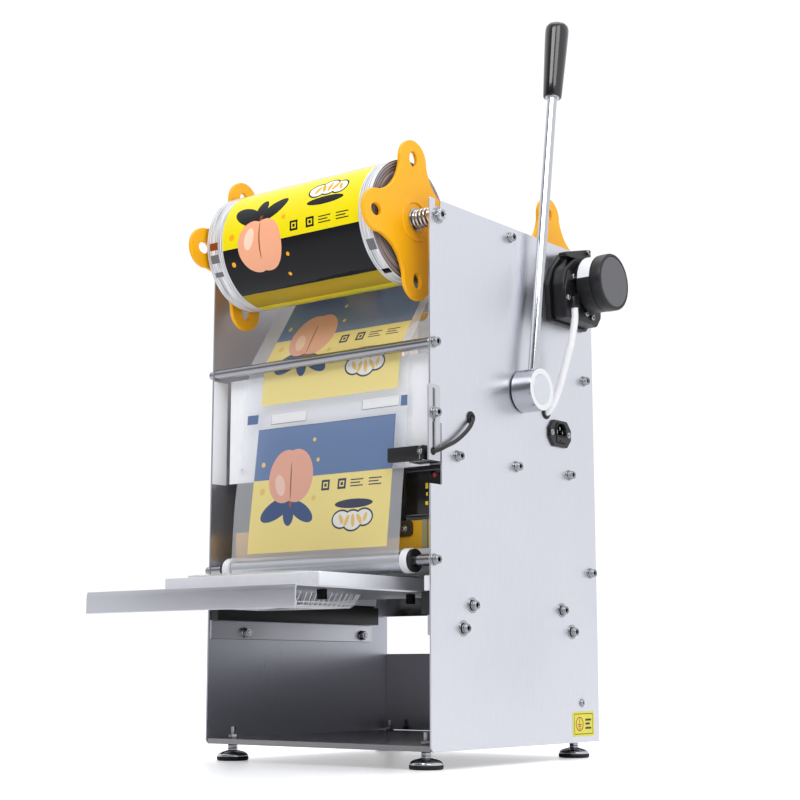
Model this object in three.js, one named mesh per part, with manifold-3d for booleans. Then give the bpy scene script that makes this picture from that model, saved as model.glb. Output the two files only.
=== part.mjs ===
// Manual tray sealing machine with a film roll, a drawer mould and a motorised film take-up.
// Millimetres, +Z up. Inside the machine group X runs left to right between the side plates,
// Y runs from the plates' front edge to the back, and Z starts at the plates' bottom edge.
import * as THREE from 'three';
import { mergeVertices } from 'three/addons/utils/BufferGeometryUtils.js';
import Module from 'manifold-3d';

const wasm = await Module();
wasm.setup();

// ---- driving dimensions ----
const WIDTH = 328.6;            // over the side plates
const DEPTH = 339.6;
const HEIGHT = 600;
const SHEET = 2;                // side plate thickness
const FOOT_HEIGHT = 19;         // plates' bottom edge above the floor
const GAP = 0.3;                // between touching pieces
const FILM = 0.6;               // film drawn thick enough to be a solid

const OUTER = WIDTH / 2;
const INNER = OUTER - SHEET;
const MID_Y = 178.3;            // centre of the press, lever shaft and mould when closed

const SUPPLY = { y: 15.4, z: 582, rollRadius: 70 };
const TAKEUP = { y: 300, z: 582, rollRadius: 27 };
const LEVER = { z: 405.5, lean: 8.5, x: 178.5 };
const UPPER_ROD = { y: 5.5, z: 437, radius: 6 };
const FRONT_ROLLER = { y: 6, z: 200.7, radius: 9.6 };
const REAR_ROD = { y: 318, z: 438, radius: 5 };
const REAR_ROLLER = { y: 325, z: 200.7, radius: 9.6 };
const TIE_ROD = { y: 157, z: 587, radius: 6 };

const FILM_HALF = 124;          // film width over two
const FLANGE_TIP = 92;          // spool flange centre to the end of a lug
const HEAD = { bottom: 207, halfWidth: 150, front: 24, back: 308 };
const DRAWER = { front: -200, back: 96, top: 167.4, halfWidth: 150 };
const MOULD = { halfWidth: 113.4, front: -121, back: 79, top: 184.4 };
const TRAY = {
  halfX: 81, front: -113, back: 17, bottom: 150.5, rim: 6, wall: 1, lean: { side: 9, front: 7, back: 24 },
};

// ---- materials ----
const finish = (color, roughness, metalness, more = {}) =>
  new THREE.MeshStandardMaterial({ color, roughness, metalness, ...more });
const stainless = finish(0xd6d7dc, 0.35, 0.9);
const steel = finish(0xb4b6ba, 0.3, 1);
const chrome = finish(0xe6e8ec, 0.08, 1);
const aluminium = finish(0xdcdde0, 0.4, 0.85);
const whitePaint = finish(0xf2f2f6, 0.45, 0);
const epoxyBoard = finish(0xd79a12, 0.5, 0);
const yellowPlastic = finish(0xffb523, 0.4, 0);
const blackPlastic = finish(0x1d1d1f, 0.5, 0);
const greyPlastic = finish(0x5f5f63, 0.5, 0);
const rubber = finish(0x151515, 0.8, 0);
const silicone = finish(0xb9573a, 0.7, 0);
const film = finish(0x8fa3c4, 0.15, 0, { transparent: true, opacity: 0.7 });
const clearPet = finish(0xe8ecef, 0.1, 0, { transparent: true, opacity: 0.35 });
const braid = finish(0xe9e9ea, 0.7, 0);

// ---- solids ----
function toSolid(geometry) {
  const bare = geometry.clone();
  bare.deleteAttribute('normal');
  bare.deleteAttribute('uv');
  const merged = mergeVertices(bare, 1e-4);
  return new wasm.Manifold(new wasm.Mesh({
    numProp: 3,
    vertProperties: new Float32Array(merged.attributes.position.array),
    triVerts: new Uint32Array(merged.index.array),
  }));
}

function toGeometry(solid) {
  const mesh = solid.getMesh();
  const geometry = new THREE.BufferGeometry();
  geometry.setAttribute('position', new THREE.BufferAttribute(mesh.vertProperties, 3));
  geometry.setIndex(new THREE.BufferAttribute(mesh.triVerts, 1));
  return geometry;
}

const join = (first, ...others) =>
  toGeometry(others.reduce((whole, piece) => whole.add(toSolid(piece)), toSolid(first)));
const cut = (first, ...others) =>
  toGeometry(others.reduce((whole, piece) => whole.subtract(toSolid(piece)), toSolid(first)));

// A box between two corners.
function block(x0, x1, y0, y1, z0, z1) {
  return new THREE.BoxGeometry(x1 - x0, y1 - y0, z1 - z0)
    .translate((x0 + x1) / 2, (y0 + y1) / 2, (z0 + z1) / 2);
}

// A round bar along X.
function barX(radius, x0, x1, y, z, sides = 32) {
  return new THREE.CylinderGeometry(radius, radius, x1 - x0, sides)
    .rotateZ(-Math.PI / 2).translate((x0 + x1) / 2, y, z);
}

// A round bar along Z.
function barZ(radius, x, y, z0, z1, sides = 32) {
  return new THREE.CylinderGeometry(radius, radius, z1 - z0, sides)
    .rotateX(Math.PI / 2).translate(x, y, (z0 + z1) / 2);
}

// A turned piece around an X axis; profile points are [x, radius].
function turnedX(profile, y, z, sides = 40) {
  const points = profile.map(([x, radius]) => new THREE.Vector2(radius, x));
  return new THREE.LatheGeometry(points, sides).rotateZ(-Math.PI / 2).translate(0, y, z);
}

// A turned piece around a Z axis; profile points are [radius, z].
function turnedZ(profile, x, y, sides = 40) {
  const points = profile.map(([radius, z]) => new THREE.Vector2(radius, z));
  return new THREE.LatheGeometry(points, sides).rotateX(Math.PI / 2).translate(x, y, 0);
}

// A tube around X with a bore.
function tubeX(outer, bore, x0, x1, y, z, sides = 40) {
  const ring = [[x0, bore], [x0, outer], [x1, outer], [x1, bore], [x0, bore]];
  return turnedX(ring, y, z, sides);
}

// A flat shape drawn in Y and Z, thickened along X from x0 to x1.
function platedYZ(shape, x0, x1, curveSegments = 12) {
  const settings = { depth: x1 - x0, bevelEnabled: false, curveSegments };
  return new THREE.ExtrudeGeometry(shape, settings)
    .applyMatrix4(new THREE.Matrix4().set(0, 0, 1, x0, 1, 0, 0, 0, 0, 1, 0, 0, 0, 0, 0, 1));
}

function outline(points) {
  return new THREE.Shape(points.map(([a, b]) => new THREE.Vector2(a, b)));
}

// A round tube that follows a smooth path, for springs and cables.
function swept(points, radius, sides, steps, curve = new THREE.CatmullRomCurve3(points)) {
  const section = new THREE.Shape();
  section.absarc(0, 0, radius, 0, 2 * Math.PI);
  const settings = { steps, extrudePath: curve, curveSegments: Math.round(sides / 2) };
  return new THREE.ExtrudeGeometry(section, settings);
}

function coil(from, axis, length, radius, wire, turns) {
  const stepsPerTurn = 14;
  const points = [];
  for (let i = 0; i <= turns * stepsPerTurn; i += 1) {
    const angle = (2 * Math.PI * i) / stepsPerTurn;
    const along = wire + ((length - 2 * wire) * i) / (turns * stepsPerTurn);
    const round = [radius * Math.cos(angle), radius * Math.sin(angle)];
    const local = axis === 'x' ? [along, ...round] : [...round, along];
    points.push(new THREE.Vector3(...local).add(new THREE.Vector3(...from)));
  }
  return swept(points, wire, 6, turns * stepsPerTurn);
}

const machine = new THREE.Group();
machine.position.z = FOOT_HEIGHT;

function add(name, geometry, material, parent = machine) {
  const mesh = new THREE.Mesh(geometry, material);
  mesh.name = name;
  parent.add(mesh);
  return mesh;
}

// ---- frame ----
const CABLE_HOLE = { y: 75, z: 362, radius: 5 };
const LEAD_HOLE = { y: 231, z: 388, radius: 6 };
const INLET = { y0: 235, y1: 282, z0: 349, z1: 381 };
const NOTCH = { y: 20.6, z0: 282, z1: 349 };
const SHAFT_RADIUS = 10;
const AXLE_RADIUS = 5;

const CONTROLLER = { y0: 226, y1: 271, z0: 342, z1: 387, depth: 62 };
const SWITCH = { y0: 285, y1: 298, z0: 354, z1: 373, depth: 22 };

function sidePlate(side) {
  const shape = outline([
    [4, 0], [DEPTH, 0], [DEPTH, HEIGHT], [SUPPLY.y + AXLE_RADIUS, HEIGHT],
    [SUPPLY.y + AXLE_RADIUS, SUPPLY.z - AXLE_RADIUS], [SUPPLY.y - AXLE_RADIUS, SUPPLY.z - AXLE_RADIUS],
    [SUPPLY.y - AXLE_RADIUS, HEIGHT], [0, HEIGHT], [0, 4],
  ]);
  const x0 = side > 0 ? INNER : -OUTER;
  const x1 = x0 + SHEET;
  const through = (radius, at) => barX(radius, x0 - 1, x1 + 1, at.y, at.z, 24);
  const holes = [
    through(SHAFT_RADIUS + 4.3, { y: MID_Y, z: LEVER.z }),
    through(8, TAKEUP),
  ];
  if (side > 0) {
    holes.push(through(CABLE_HOLE.radius, CABLE_HOLE), through(LEAD_HOLE.radius, LEAD_HOLE));
    holes.push(block(x0 - 1, x1 + 1, -1, NOTCH.y, NOTCH.z0, NOTCH.z1));
    holes.push(block(x0 - 1, x1 + 1, INLET.y0 + 9.5, INLET.y1 - 9.5, INLET.z0 + 2, INLET.z1 - 2));
  } else {
    holes.push(block(x0 - 1, x1 + 1, CONTROLLER.y0, CONTROLLER.y1, CONTROLLER.z0, CONTROLLER.z1));
    holes.push(block(x0 - 1, x1 + 1, SWITCH.y0, SWITCH.y1, SWITCH.z0, SWITCH.z1));
  }
  return cut(platedYZ(shape, x0, x1), ...holes);
}

add('side_plate_left', sidePlate(-1), stainless);
add('side_plate_right', sidePlate(1), stainless);

// A shallow pan turned upside down closes the bottom.
const PAN = { top: 6.5, skin: 1.5, half: INNER - GAP, front: 1, back: 338 };
const panHollow = block(-PAN.half + PAN.skin, PAN.half - PAN.skin, PAN.front + PAN.skin,
  PAN.back - PAN.skin, -1, PAN.top - PAN.skin);
const FEET = { x: 141, front: 22, back: 318, stud: 3 };
const footPlaces = { front_left: [-1, FEET.front], front_right: [1, FEET.front],
  rear_left: [-1, FEET.back], rear_right: [1, FEET.back] };
const studHoles = Object.values(footPlaces).map(([side, y]) =>
  barZ(FEET.stud + GAP, side * FEET.x, y, 0, 10, 20));
add('base_pan', cut(block(-PAN.half, PAN.half, PAN.front, PAN.back, 0.3, PAN.top),
  panHollow, ...studHoles), stainless);

for (const [name, [side, y]] of Object.entries(footPlaces)) {
  const top = -FOOT_HEIGHT;
  const profile = [
    [0, top], [18.5, top], [18.5, top + 4.5], [16.5, top + 5], [15.5, top + 8.5], [8, top + 11.5],
    [FEET.stud, top + 12], [FEET.stud, 20], [0, 20],
  ];
  add(`foot_${name}`, turnedZ(profile, side * FEET.x, y, 36), rubber);
}

const REAR = { y0: 336, y1: 337.5, lowTop: 105.7, highBottom: 155, highTop: 420 };
const rearHalf = INNER - GAP;
add('rear_panel_lower', block(-rearHalf, rearHalf, REAR.y0, REAR.y1, PAN.top + GAP, REAR.lowTop),
  stainless);
add('rear_panel_upper', block(-rearHalf, rearHalf, REAR.y0, REAR.y1, REAR.highBottom, REAR.highTop),
  stainless);

const COVER = { half: 149.5, y0: 17, y1: 18.5, bottom: 304, top: 429 };
add('front_cover', block(-COVER.half, COVER.half, COVER.y0, COVER.y1, COVER.bottom, COVER.top),
  whitePaint);

for (const [name, rod] of [['upper_guide_rod', UPPER_ROD], ['rear_guide_rod', REAR_ROD],
  ['top_tie_rod', TIE_ROD]]) {
  add(name, barX(rod.radius, -INNER + GAP, INNER - GAP, rod.y, rod.z, 28), steel);
}

// The guide plate carries the press columns and is bolted to both side plates by its flanges.
const GUIDE = { front: 30, back: 300, bottom: 306, skin: 4, flange: 20 };
const COLUMN = { x: 100, radius: 10 };
const guideHalf = INNER - GAP;
const guideBody = block(-guideHalf, guideHalf, GUIDE.front, GUIDE.back, GUIDE.bottom,
  GUIDE.bottom + GUIDE.flange);
const guideHollow = block(-guideHalf + GUIDE.skin, guideHalf - GUIDE.skin, GUIDE.front - 1,
  GUIDE.back + 1, GUIDE.bottom + GUIDE.skin, GUIDE.bottom + GUIDE.flange + 1);
const guideHoles = [-1, 1].map((side) =>
  barZ(COLUMN.radius + GAP, side * COLUMN.x, MID_Y, GUIDE.bottom - 1, GUIDE.bottom + 10, 28));
add('guide_plate', cut(guideBody, guideHollow, ...guideHoles), steel);

// ---- drawer rails ----
const RAIL = { inner: 150, stripInner: 154, grooveX: 157.5, y0: 2, y1: 305, z0: 143, z1: 165.2, top: 184 };
const BAR = { y0: 1, y1: 302, z0: 121, z1: 142.5, skin: 3 };
for (const [name, side] of [['left', -1], ['right', 1]]) {
  const across = (a, b) => (side > 0 ? [a, b] : [-b, -a]);
  const solidRail = block(...across(RAIL.inner, INNER - GAP), RAIL.y0, RAIL.y1, RAIL.z0, RAIL.top);
  const groove = block(...across(RAIL.inner - 1, RAIL.grooveX), RAIL.y0 - 1, RAIL.y1 + 1, RAIL.z1,
    DRAWER.top + GAP);
  const relief = block(...across(RAIL.inner - 1, RAIL.stripInner), RAIL.y0 - 1, RAIL.y1 + 1,
    DRAWER.top + GAP, RAIL.top + 1);
  add(`rail_${name}`, cut(solidRail, groove, relief), blackPlastic);
  add(`rail_bar_${name}`, block(...across(INNER - GAP - BAR.skin, INNER - GAP), BAR.y0, BAR.y1,
    BAR.z0, BAR.z1), stainless);
}

// ---- drawer: bent plate with its apron, mould, gasket and the tray that is being sealed ----
const plateHalfInside = 156;    // the part of the plate that runs on the rails
const plateSkin = 1.9;
const apron = { bottom: 144.4, skin: 1.9 };
const drawerSide = outline([
  [DRAWER.front, apron.bottom], [DRAWER.front + apron.skin, apron.bottom],
  [DRAWER.front + apron.skin, DRAWER.top - 5.5], [DRAWER.front + apron.skin + 1, DRAWER.top - plateSkin],
  [DRAWER.back, DRAWER.top - plateSkin], [DRAWER.back, DRAWER.top],
  [DRAWER.front + 1.2, DRAWER.top], [DRAWER.front, DRAWER.top - 5.5],
]);
const runners = block(-plateHalfInside, plateHalfInside, 22, DRAWER.back,
  DRAWER.top - plateSkin, DRAWER.top);
const traySlot = block(-TRAY.halfX - 2, TRAY.halfX + 2, TRAY.front - 2, TRAY.back + 2, 140, 200);
add('drawer_plate', cut(join(platedYZ(drawerSide, -DRAWER.halfWidth, DRAWER.halfWidth), runners),
  traySlot), stainless);
add('mould', cut(block(-MOULD.halfWidth, MOULD.halfWidth, MOULD.front, MOULD.back,
  DRAWER.top + GAP, MOULD.top), traySlot), aluminium);

const gasketOuter = { x: TRAY.halfX + TRAY.rim, y0: TRAY.front - TRAY.rim, y1: TRAY.back + TRAY.rim };
const gasketTop = MOULD.top + GAP + 1.2;
add('mould_gasket', cut(
  block(-gasketOuter.x, gasketOuter.x, gasketOuter.y0, gasketOuter.y1, MOULD.top + GAP, gasketTop),
  traySlot,
), silicone);

function frustum(halfTop, frontTop, backTop, top, bottom, lean) {
  const shape = new THREE.CylinderGeometry(Math.SQRT1_2, Math.SQRT1_2, 1, 4, 1);
  shape.rotateY(Math.PI / 4).rotateX(Math.PI / 2);
  const position = shape.attributes.position;
  for (let i = 0; i < position.count; i += 1) {
    const high = position.getZ(i) > 0;
    const share = high ? 0 : 1;
    position.setXYZ(i, Math.sign(position.getX(i)) * (halfTop - share * lean.side),
      position.getY(i) > 0 ? backTop - share * lean.back : frontTop + share * lean.front,
      high ? top : bottom);
  }
  return shape;
}
const trayTop = gasketTop + GAP + TRAY.wall;
const trayRim = block(-gasketOuter.x, gasketOuter.x, gasketOuter.y0, gasketOuter.y1,
  gasketTop + GAP, trayTop);
const trayOuter = frustum(TRAY.halfX, TRAY.front, TRAY.back, trayTop, TRAY.bottom, TRAY.lean);
const trayInner = frustum(TRAY.halfX - TRAY.wall, TRAY.front + TRAY.wall, TRAY.back - TRAY.wall,
  trayTop + 0.01, TRAY.bottom + TRAY.wall, TRAY.lean);
add('food_tray', cut(join(trayRim, trayOuter), trayInner), clearPet);

// ---- sealing head ----
const heaterThickness = 8;
const board = { z0: HEAD.bottom + heaterThickness + GAP, z1: 246 };
add('heater_plate', block(-HEAD.halfWidth, HEAD.halfWidth, HEAD.front, HEAD.back, HEAD.bottom,
  HEAD.bottom + heaterThickness), aluminium);
add('insulation_board', block(-HEAD.halfWidth + 4, HEAD.halfWidth - 4, HEAD.front + 1, HEAD.back - 1,
  board.z0, board.z1), epoxyBoard);
const CROSSHEAD = { z0: 348, z1: 362, halfX: 122, halfY: 16, padTop: 382 };
for (const [name, side] of [['left', -1], ['right', 1]]) {
  add(`press_column_${name}`, barZ(COLUMN.radius, side * COLUMN.x, MID_Y, board.z1 + GAP,
    CROSSHEAD.z0 - GAP, 32), chrome);
}
const CAM = { x: 62, thickness: 12, base: 20, rise: 11.5, turn: 80 };
const crossheadPads = [-1, 1].map((side) => block(side * CAM.x - 9, side * CAM.x + 9, MID_Y - 14,
  MID_Y + 14, CROSSHEAD.z1 - 1, CROSSHEAD.padTop));
add('crosshead', join(block(-CROSSHEAD.halfX, CROSSHEAD.halfX, MID_Y - CROSSHEAD.halfY,
  MID_Y + CROSSHEAD.halfY, CROSSHEAD.z0, CROSSHEAD.z1), ...crossheadPads), steel);

const springFrom = GUIDE.bottom + GUIDE.skin + GAP;
const springLength = CROSSHEAD.z0 - GAP - springFrom;
for (const [name, side] of [['left', -1], ['right', 1]]) {
  add(`return_spring_${name}`, coil([side * COLUMN.x, MID_Y, springFrom], 'z', springLength,
    COLUMN.radius + 3.2, 1.6, 5), steel);
}

// ---- lever: shaft through both plates with its two cams, hub, rod and grip ----
// The cam's radius grows evenly with its turn, so the head moves down evenly.
function camOutline() {
  const points = [];
  const radians = Math.PI / 180;
  for (let degrees = 0; degrees <= 360; degrees += 10) {
    const rising = Math.min(degrees, CAM.turn + 20) * radians * CAM.rise;
    const falling = degrees > 200 ? ((degrees - 200) / 160) * (CAM.turn + 20) * radians * CAM.rise : 0;
    const radius = CAM.base + rising - falling;
    const angle = -Math.PI / 2 - degrees * radians;
    points.push([MID_Y + radius * Math.cos(angle), LEVER.z + radius * Math.sin(angle)]);
  }
  points.pop();
  return outline(points);
}
const cams = [-1, 1].map((side) =>
  platedYZ(camOutline(), side * CAM.x - CAM.thickness / 2, side * CAM.x + CAM.thickness / 2));
const shaftCollar = barX(17, -OUTER - 8.5, -OUTER - 1, MID_Y, LEVER.z, 40);
add('lever_shaft', join(barX(SHAFT_RADIUS, -OUTER - 9, LEVER.x + 14.5, MID_Y, LEVER.z, 36),
  shaftCollar, ...cams), steel);
const HUB = { radius: 25, x0: OUTER + 1.2, x1: LEVER.x + 14.5 };
const hubRing = [
  [HUB.x0, SHAFT_RADIUS + GAP], [HUB.x0, HUB.radius - 1], [HUB.x0 + 1, HUB.radius],
  [HUB.x1 - 1.5, HUB.radius], [HUB.x1, HUB.radius - 1.5], [HUB.x1, SHAFT_RADIUS + GAP],
  [HUB.x0, SHAFT_RADIUS + GAP],
];
add('lever_hub', turnedX(hubRing, MID_Y, LEVER.z, 56), steel);

const leverArm = new THREE.Group();
leverArm.position.set(LEVER.x, MID_Y, LEVER.z);
leverArm.rotation.x = (-LEVER.lean * Math.PI) / 180;
machine.add(leverArm);
const ROD = { radius: 6, from: HUB.radius + GAP, to: 462 };
const GRIP = { from: 378, to: 478, low: 11.5, high: 14.5 };
add('lever_rod', barZ(ROD.radius, 0, 0, ROD.from, ROD.to, 32), chrome, leverArm);
const gripProfile = [
  [ROD.radius + GAP, GRIP.from], [GRIP.low - 1, GRIP.from], [GRIP.low, GRIP.from + 1.5],
  [GRIP.high, GRIP.to - 18], [GRIP.high + 0.3, GRIP.to - 8], [GRIP.high - 1.8, GRIP.to - 2],
  [GRIP.high - 6, GRIP.to], [0, GRIP.to], [0, ROD.to + GAP], [ROD.radius + GAP, ROD.to + GAP],
  [ROD.radius + GAP, GRIP.from],
];
add('lever_grip', turnedZ(gripProfile, 0, 0, 40), blackPlastic, leverArm);

// ---- film path ----
const LUG = { half: 24, tip: FLANGE_TIP - 24, root: FLANGE_TIP - 28, valley: 32, hole: 70 };

// A spool flange: four lugs with round ends and a hole each, joined by hollow curves.
function spoolFlange(x0, x1, centre, turn) {
  const shape = new THREE.Shape();
  for (let lug = 0; lug < 4; lug += 1) {
    const angle = turn + (lug * Math.PI) / 2;
    const at = (along, across) => [
      along * Math.cos(angle) - across * Math.sin(angle),
      along * Math.sin(angle) + across * Math.cos(angle),
    ];
    if (lug === 0) shape.moveTo(...at(LUG.root, -LUG.half));
    shape.absarc(...at(LUG.tip, 0), LUG.half, angle - Math.PI / 2, angle + Math.PI / 2);
    shape.lineTo(...at(LUG.root, LUG.half));
    shape.quadraticCurveTo(...at(LUG.valley, LUG.valley), ...at(LUG.half, LUG.root));
    const hole = new THREE.Path();
    hole.absellipse(...at(LUG.hole, 0), 9, 7, 0, 2 * Math.PI, true, angle);
    shape.holes.push(hole);
  }
  const bore = new THREE.Path();
  bore.absarc(0, 0, AXLE_RADIUS + GAP, 0, 2 * Math.PI, true);
  shape.holes.push(bore);
  return platedYZ(shape, x0, x1, 8).translate(0, centre.y, centre.z);
}

const FLANGE = { inner: 128, outer: 133 };
const LUG_TURN = { supply: 0.05, takeup: 0.08 };
const spoolSides = [['left', -FLANGE.outer, -FLANGE.inner], ['right', FLANGE.inner, FLANGE.outer]];
for (const [name, x0, x1] of spoolSides) {
  add(`supply_flange_${name}`, spoolFlange(x0, x1, SUPPLY, LUG_TURN.supply), yellowPlastic);
  add(`takeup_flange_${name}`, spoolFlange(x0, x1, TAKEUP, LUG_TURN.takeup), yellowPlastic);
}
const coreBore = 16;
add('film_roll', tubeX(SUPPLY.rollRadius, coreBore, -FILM_HALF, FILM_HALF, SUPPLY.y, SUPPLY.z, 72),
  film);
add('waste_film_roll', tubeX(TAKEUP.rollRadius, coreBore, -FILM_HALF, FILM_HALF, TAKEUP.y, TAKEUP.z,
  56), film);

const boltHead = { radius: 6.5, height: 7 };
add('supply_axle', join(
  barX(AXLE_RADIUS - GAP, -OUTER - 0.5, OUTER + 0.5, SUPPLY.y, SUPPLY.z, 24),
  barX(boltHead.radius, OUTER + GAP, OUTER + GAP + boltHead.height, SUPPLY.y, SUPPLY.z, 24),
  barX(boltHead.radius, -OUTER - GAP - boltHead.height, -OUTER - GAP, SUPPLY.y, SUPPLY.z, 24),
), steel);
add('axle_spring', coil([FLANGE.outer + GAP, SUPPLY.y, SUPPLY.z], 'x', INNER - FLANGE.outer - 2 * GAP,
  9.5, 1.6, 6), steel);
add('takeup_axle', barX(AXLE_RADIUS - GAP, -OUTER - 5, OUTER - 1, TAKEUP.y, TAKEUP.z, 24), steel);

const shaftRadius = 6.2;
const COLLAR = { inner: 126.5, outer: 140, radius: 13.5 };
add('front_roller_shaft', barX(shaftRadius, -INNER + GAP, INNER - GAP, FRONT_ROLLER.y, FRONT_ROLLER.z,
  28), steel);
const frontTube = [
  [-COLLAR.outer, COLLAR.radius], [-COLLAR.inner, COLLAR.radius], [-COLLAR.inner, FRONT_ROLLER.radius],
  [COLLAR.inner, FRONT_ROLLER.radius], [COLLAR.inner, COLLAR.radius], [COLLAR.outer, COLLAR.radius],
];
const tubeBore = shaftRadius + GAP;
add('front_roller', turnedX([
  [-COLLAR.outer, tubeBore], ...frontTube, [COLLAR.outer, tubeBore], [-COLLAR.outer, tubeBore],
], FRONT_ROLLER.y, FRONT_ROLLER.z, 40), aluminium);
add('rear_roller', barX(REAR_ROLLER.radius, -INNER + GAP, INNER - GAP, REAR_ROLLER.y, REAR_ROLLER.z,
  40), aluminium);

// The point on a roll's back side where a straight run of film from a point below touches it.
function tangentPoint(point, centre, radius) {
  const dy = point.y - centre.y;
  const dz = point.z - centre.z;
  const distance = Math.hypot(dy, dz);
  const angle = Math.atan2(dz, dy) + Math.acos(radius / distance);
  return [centre.y + radius * Math.cos(angle), centre.z + radius * Math.sin(angle)];
}

// A film run: a centre line in Y and Z made into a thin sheet across the machine.
function filmRun(line) {
  const half = FILM / 2;
  const edge = (side) => line.map(([y, z], i) => {
    const [y0, z0] = line[Math.max(i - 1, 0)];
    const [y1, z1] = line[Math.min(i + 1, line.length - 1)];
    const length = Math.hypot(y1 - y0, z1 - z0);
    return [y - (side * half * (z1 - z0)) / length, z + (side * half * (y1 - y0)) / length];
  });
  return platedYZ(outline([...edge(-1), ...edge(1).reverse()]), -FILM_HALF, FILM_HALF);
}

// Points on an arc around a roller, from one angle to another in degrees.
function wrap(centre, radius, from, to, steps) {
  return Array.from({ length: steps + 1 }, (_, i) => {
    const angle = ((from + ((to - from) * i) / steps) * Math.PI) / 180;
    return [centre.y + radius * Math.cos(angle), centre.z + radius * Math.sin(angle)];
  });
}

const clear = FILM / 2 + GAP;
const rodBack = { y: UPPER_ROD.y + UPPER_ROD.radius + clear, z: UPPER_ROD.z };
const leaveRoll = tangentPoint(rodBack, SUPPLY, SUPPLY.rollRadius + clear);
const rollerWrap = FRONT_ROLLER.radius + clear;
const underRoller = FRONT_ROLLER.z - rollerWrap;
add('film_web_front', filmRun([
  leaveRoll, [rodBack.y, rodBack.z + 4], [rodBack.y, rodBack.z - 4],
  ...wrap(FRONT_ROLLER, rollerWrap, 182, 266, 6),
]), film);
const rearRodBack = { y: REAR_ROD.y + REAR_ROD.radius + clear + 2, z: REAR_ROD.z };
const reachTakeup = tangentPoint(rearRodBack, TAKEUP, TAKEUP.rollRadius + clear);
add('film_web_rear', filmRun([
  [FRONT_ROLLER.y + 1, underRoller],
  ...wrap(REAR_ROLLER, REAR_ROLLER.radius + clear, 272, 358, 6),
  [rearRodBack.y, rearRodBack.z], reachTakeup,
]), film);

// ---- film eye on its bracket ----
const EYE = { x0: 110.5, x1: 160, y0: -7, y1: 1.6, z0: 307.6, z1: 323 };
const bracket = {
  x0: OUTER + GAP, skin: 1.8, y0: -6, y1: 15.2, z0: 305, z1: 390, footX: 140,
  slot: { y0: 1, y1: 6.2, z0: 318, z1: 386 }, hole: { y: 2.1, z: 316.5, radius: 4.3 },
};
const bracketLeg = block(bracket.x0, bracket.x0 + bracket.skin, bracket.y0, bracket.y1, bracket.z0,
  bracket.z1);
const bracketFoot = block(bracket.footX, bracket.x0 + bracket.skin, bracket.y0, bracket.y1, bracket.z0,
  bracket.z0 + bracket.skin);
const slotCut = block(bracket.x0 - 1, bracket.x0 + 4, bracket.slot.y0, bracket.slot.y1, bracket.slot.z0,
  bracket.slot.z1);
const cableRadius = 2.4;
const cableHole = barX(bracket.hole.radius, bracket.x0 - 1, bracket.x0 + 4, bracket.hole.y, bracket.hole.z,
  20);
add('eye_bracket', cut(join(bracketLeg, bracketFoot), slotCut, cableHole), stainless);
add('photo_eye', block(EYE.x0, EYE.x1, EYE.y0, EYE.y1, EYE.z0, EYE.z1), blackPlastic);
const eyeCable = [
  [EYE.x1 + GAP, -0.9, 316.5], [161.9, -0.9, 316.5], [165.5, 2, 316.5], [168.6, 5, 317.2],
  [171, 10.5, 319.5], [171.5, 18, 323], [170.5, 38, 331], [170.5, 58, 344], [169.5, 70, 355], [165, 75, 361.4],
  [161.5, 75, 362], [154, 76, 362.5],
].map((point) => new THREE.Vector3(...point));
add('eye_cable', swept(eyeCable, cableRadius, 10, 36), rubber);
add('film_controller', block(110, INNER - GAP, 26, 29.6, 250, 304), blackPlastic);

// ---- electrics ----
const inletMid = (INLET.z0 + INLET.z1) / 2;
const inletEdge = outline([
  [INLET.y0 + 9, INLET.z0], [INLET.y1 - 9, INLET.z0], [INLET.y1, inletMid - 6], [INLET.y1, inletMid + 6],
  [INLET.y1 - 9, INLET.z1], [INLET.y0 + 9, INLET.z1], [INLET.y0, inletMid + 6], [INLET.y0, inletMid - 6],
]);
const inletBody = block(INNER - 22, OUTER + GAP + 0.5, INLET.y0 + 10, INLET.y1 - 10, INLET.z0 + 2.5,
  INLET.z1 - 2.5);
const fuse = { y0: 249, y1: 268, z0: 354, z1: 361 };
const fuseHole = block(OUTER - 14, OUTER + 6, fuse.y0 - GAP, fuse.y1 + GAP, fuse.z0 - GAP, fuse.z1 + GAP);
const socket = block(OUTER - 12, OUTER + 6, 249, 268, 363.5, 376.5);
add('power_inlet', cut(join(platedYZ(inletEdge, OUTER + GAP, OUTER + 3.2), inletBody), fuseHole, socket),
  blackPlastic);
add('fuse_drawer', block(OUTER - 12, OUTER + 3.8, fuse.y0, fuse.y1, fuse.z0, fuse.z1), blackPlastic);

const bezel = 2.5;
const controllerBody = block(-OUTER + GAP - 1, -INNER + CONTROLLER.depth, CONTROLLER.y0 + GAP,
  CONTROLLER.y1 - GAP, CONTROLLER.z0 + GAP, CONTROLLER.z1 - GAP);
const controllerFace = block(-OUTER - GAP - 4, -OUTER - GAP, CONTROLLER.y0 - bezel,
  CONTROLLER.y1 + bezel, CONTROLLER.z0 - bezel, CONTROLLER.z1 + bezel);
add('temperature_controller', join(controllerBody, controllerFace), blackPlastic);
const dial = { y: (CONTROLLER.y0 + CONTROLLER.y1) / 2, z: (CONTROLLER.z0 + CONTROLLER.z1) / 2 };
const dialBack = -OUTER - 2 * GAP - 4;
add('temperature_knob', turnedX([
  [dialBack - 14, 0], [dialBack - 14, 10.5], [dialBack - 12.5, 12], [dialBack - 3, 13],
  [dialBack - 3, 17.5], [dialBack, 18.5], [dialBack, 0],
], dial.y, dial.z, 48), greyPlastic);

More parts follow.
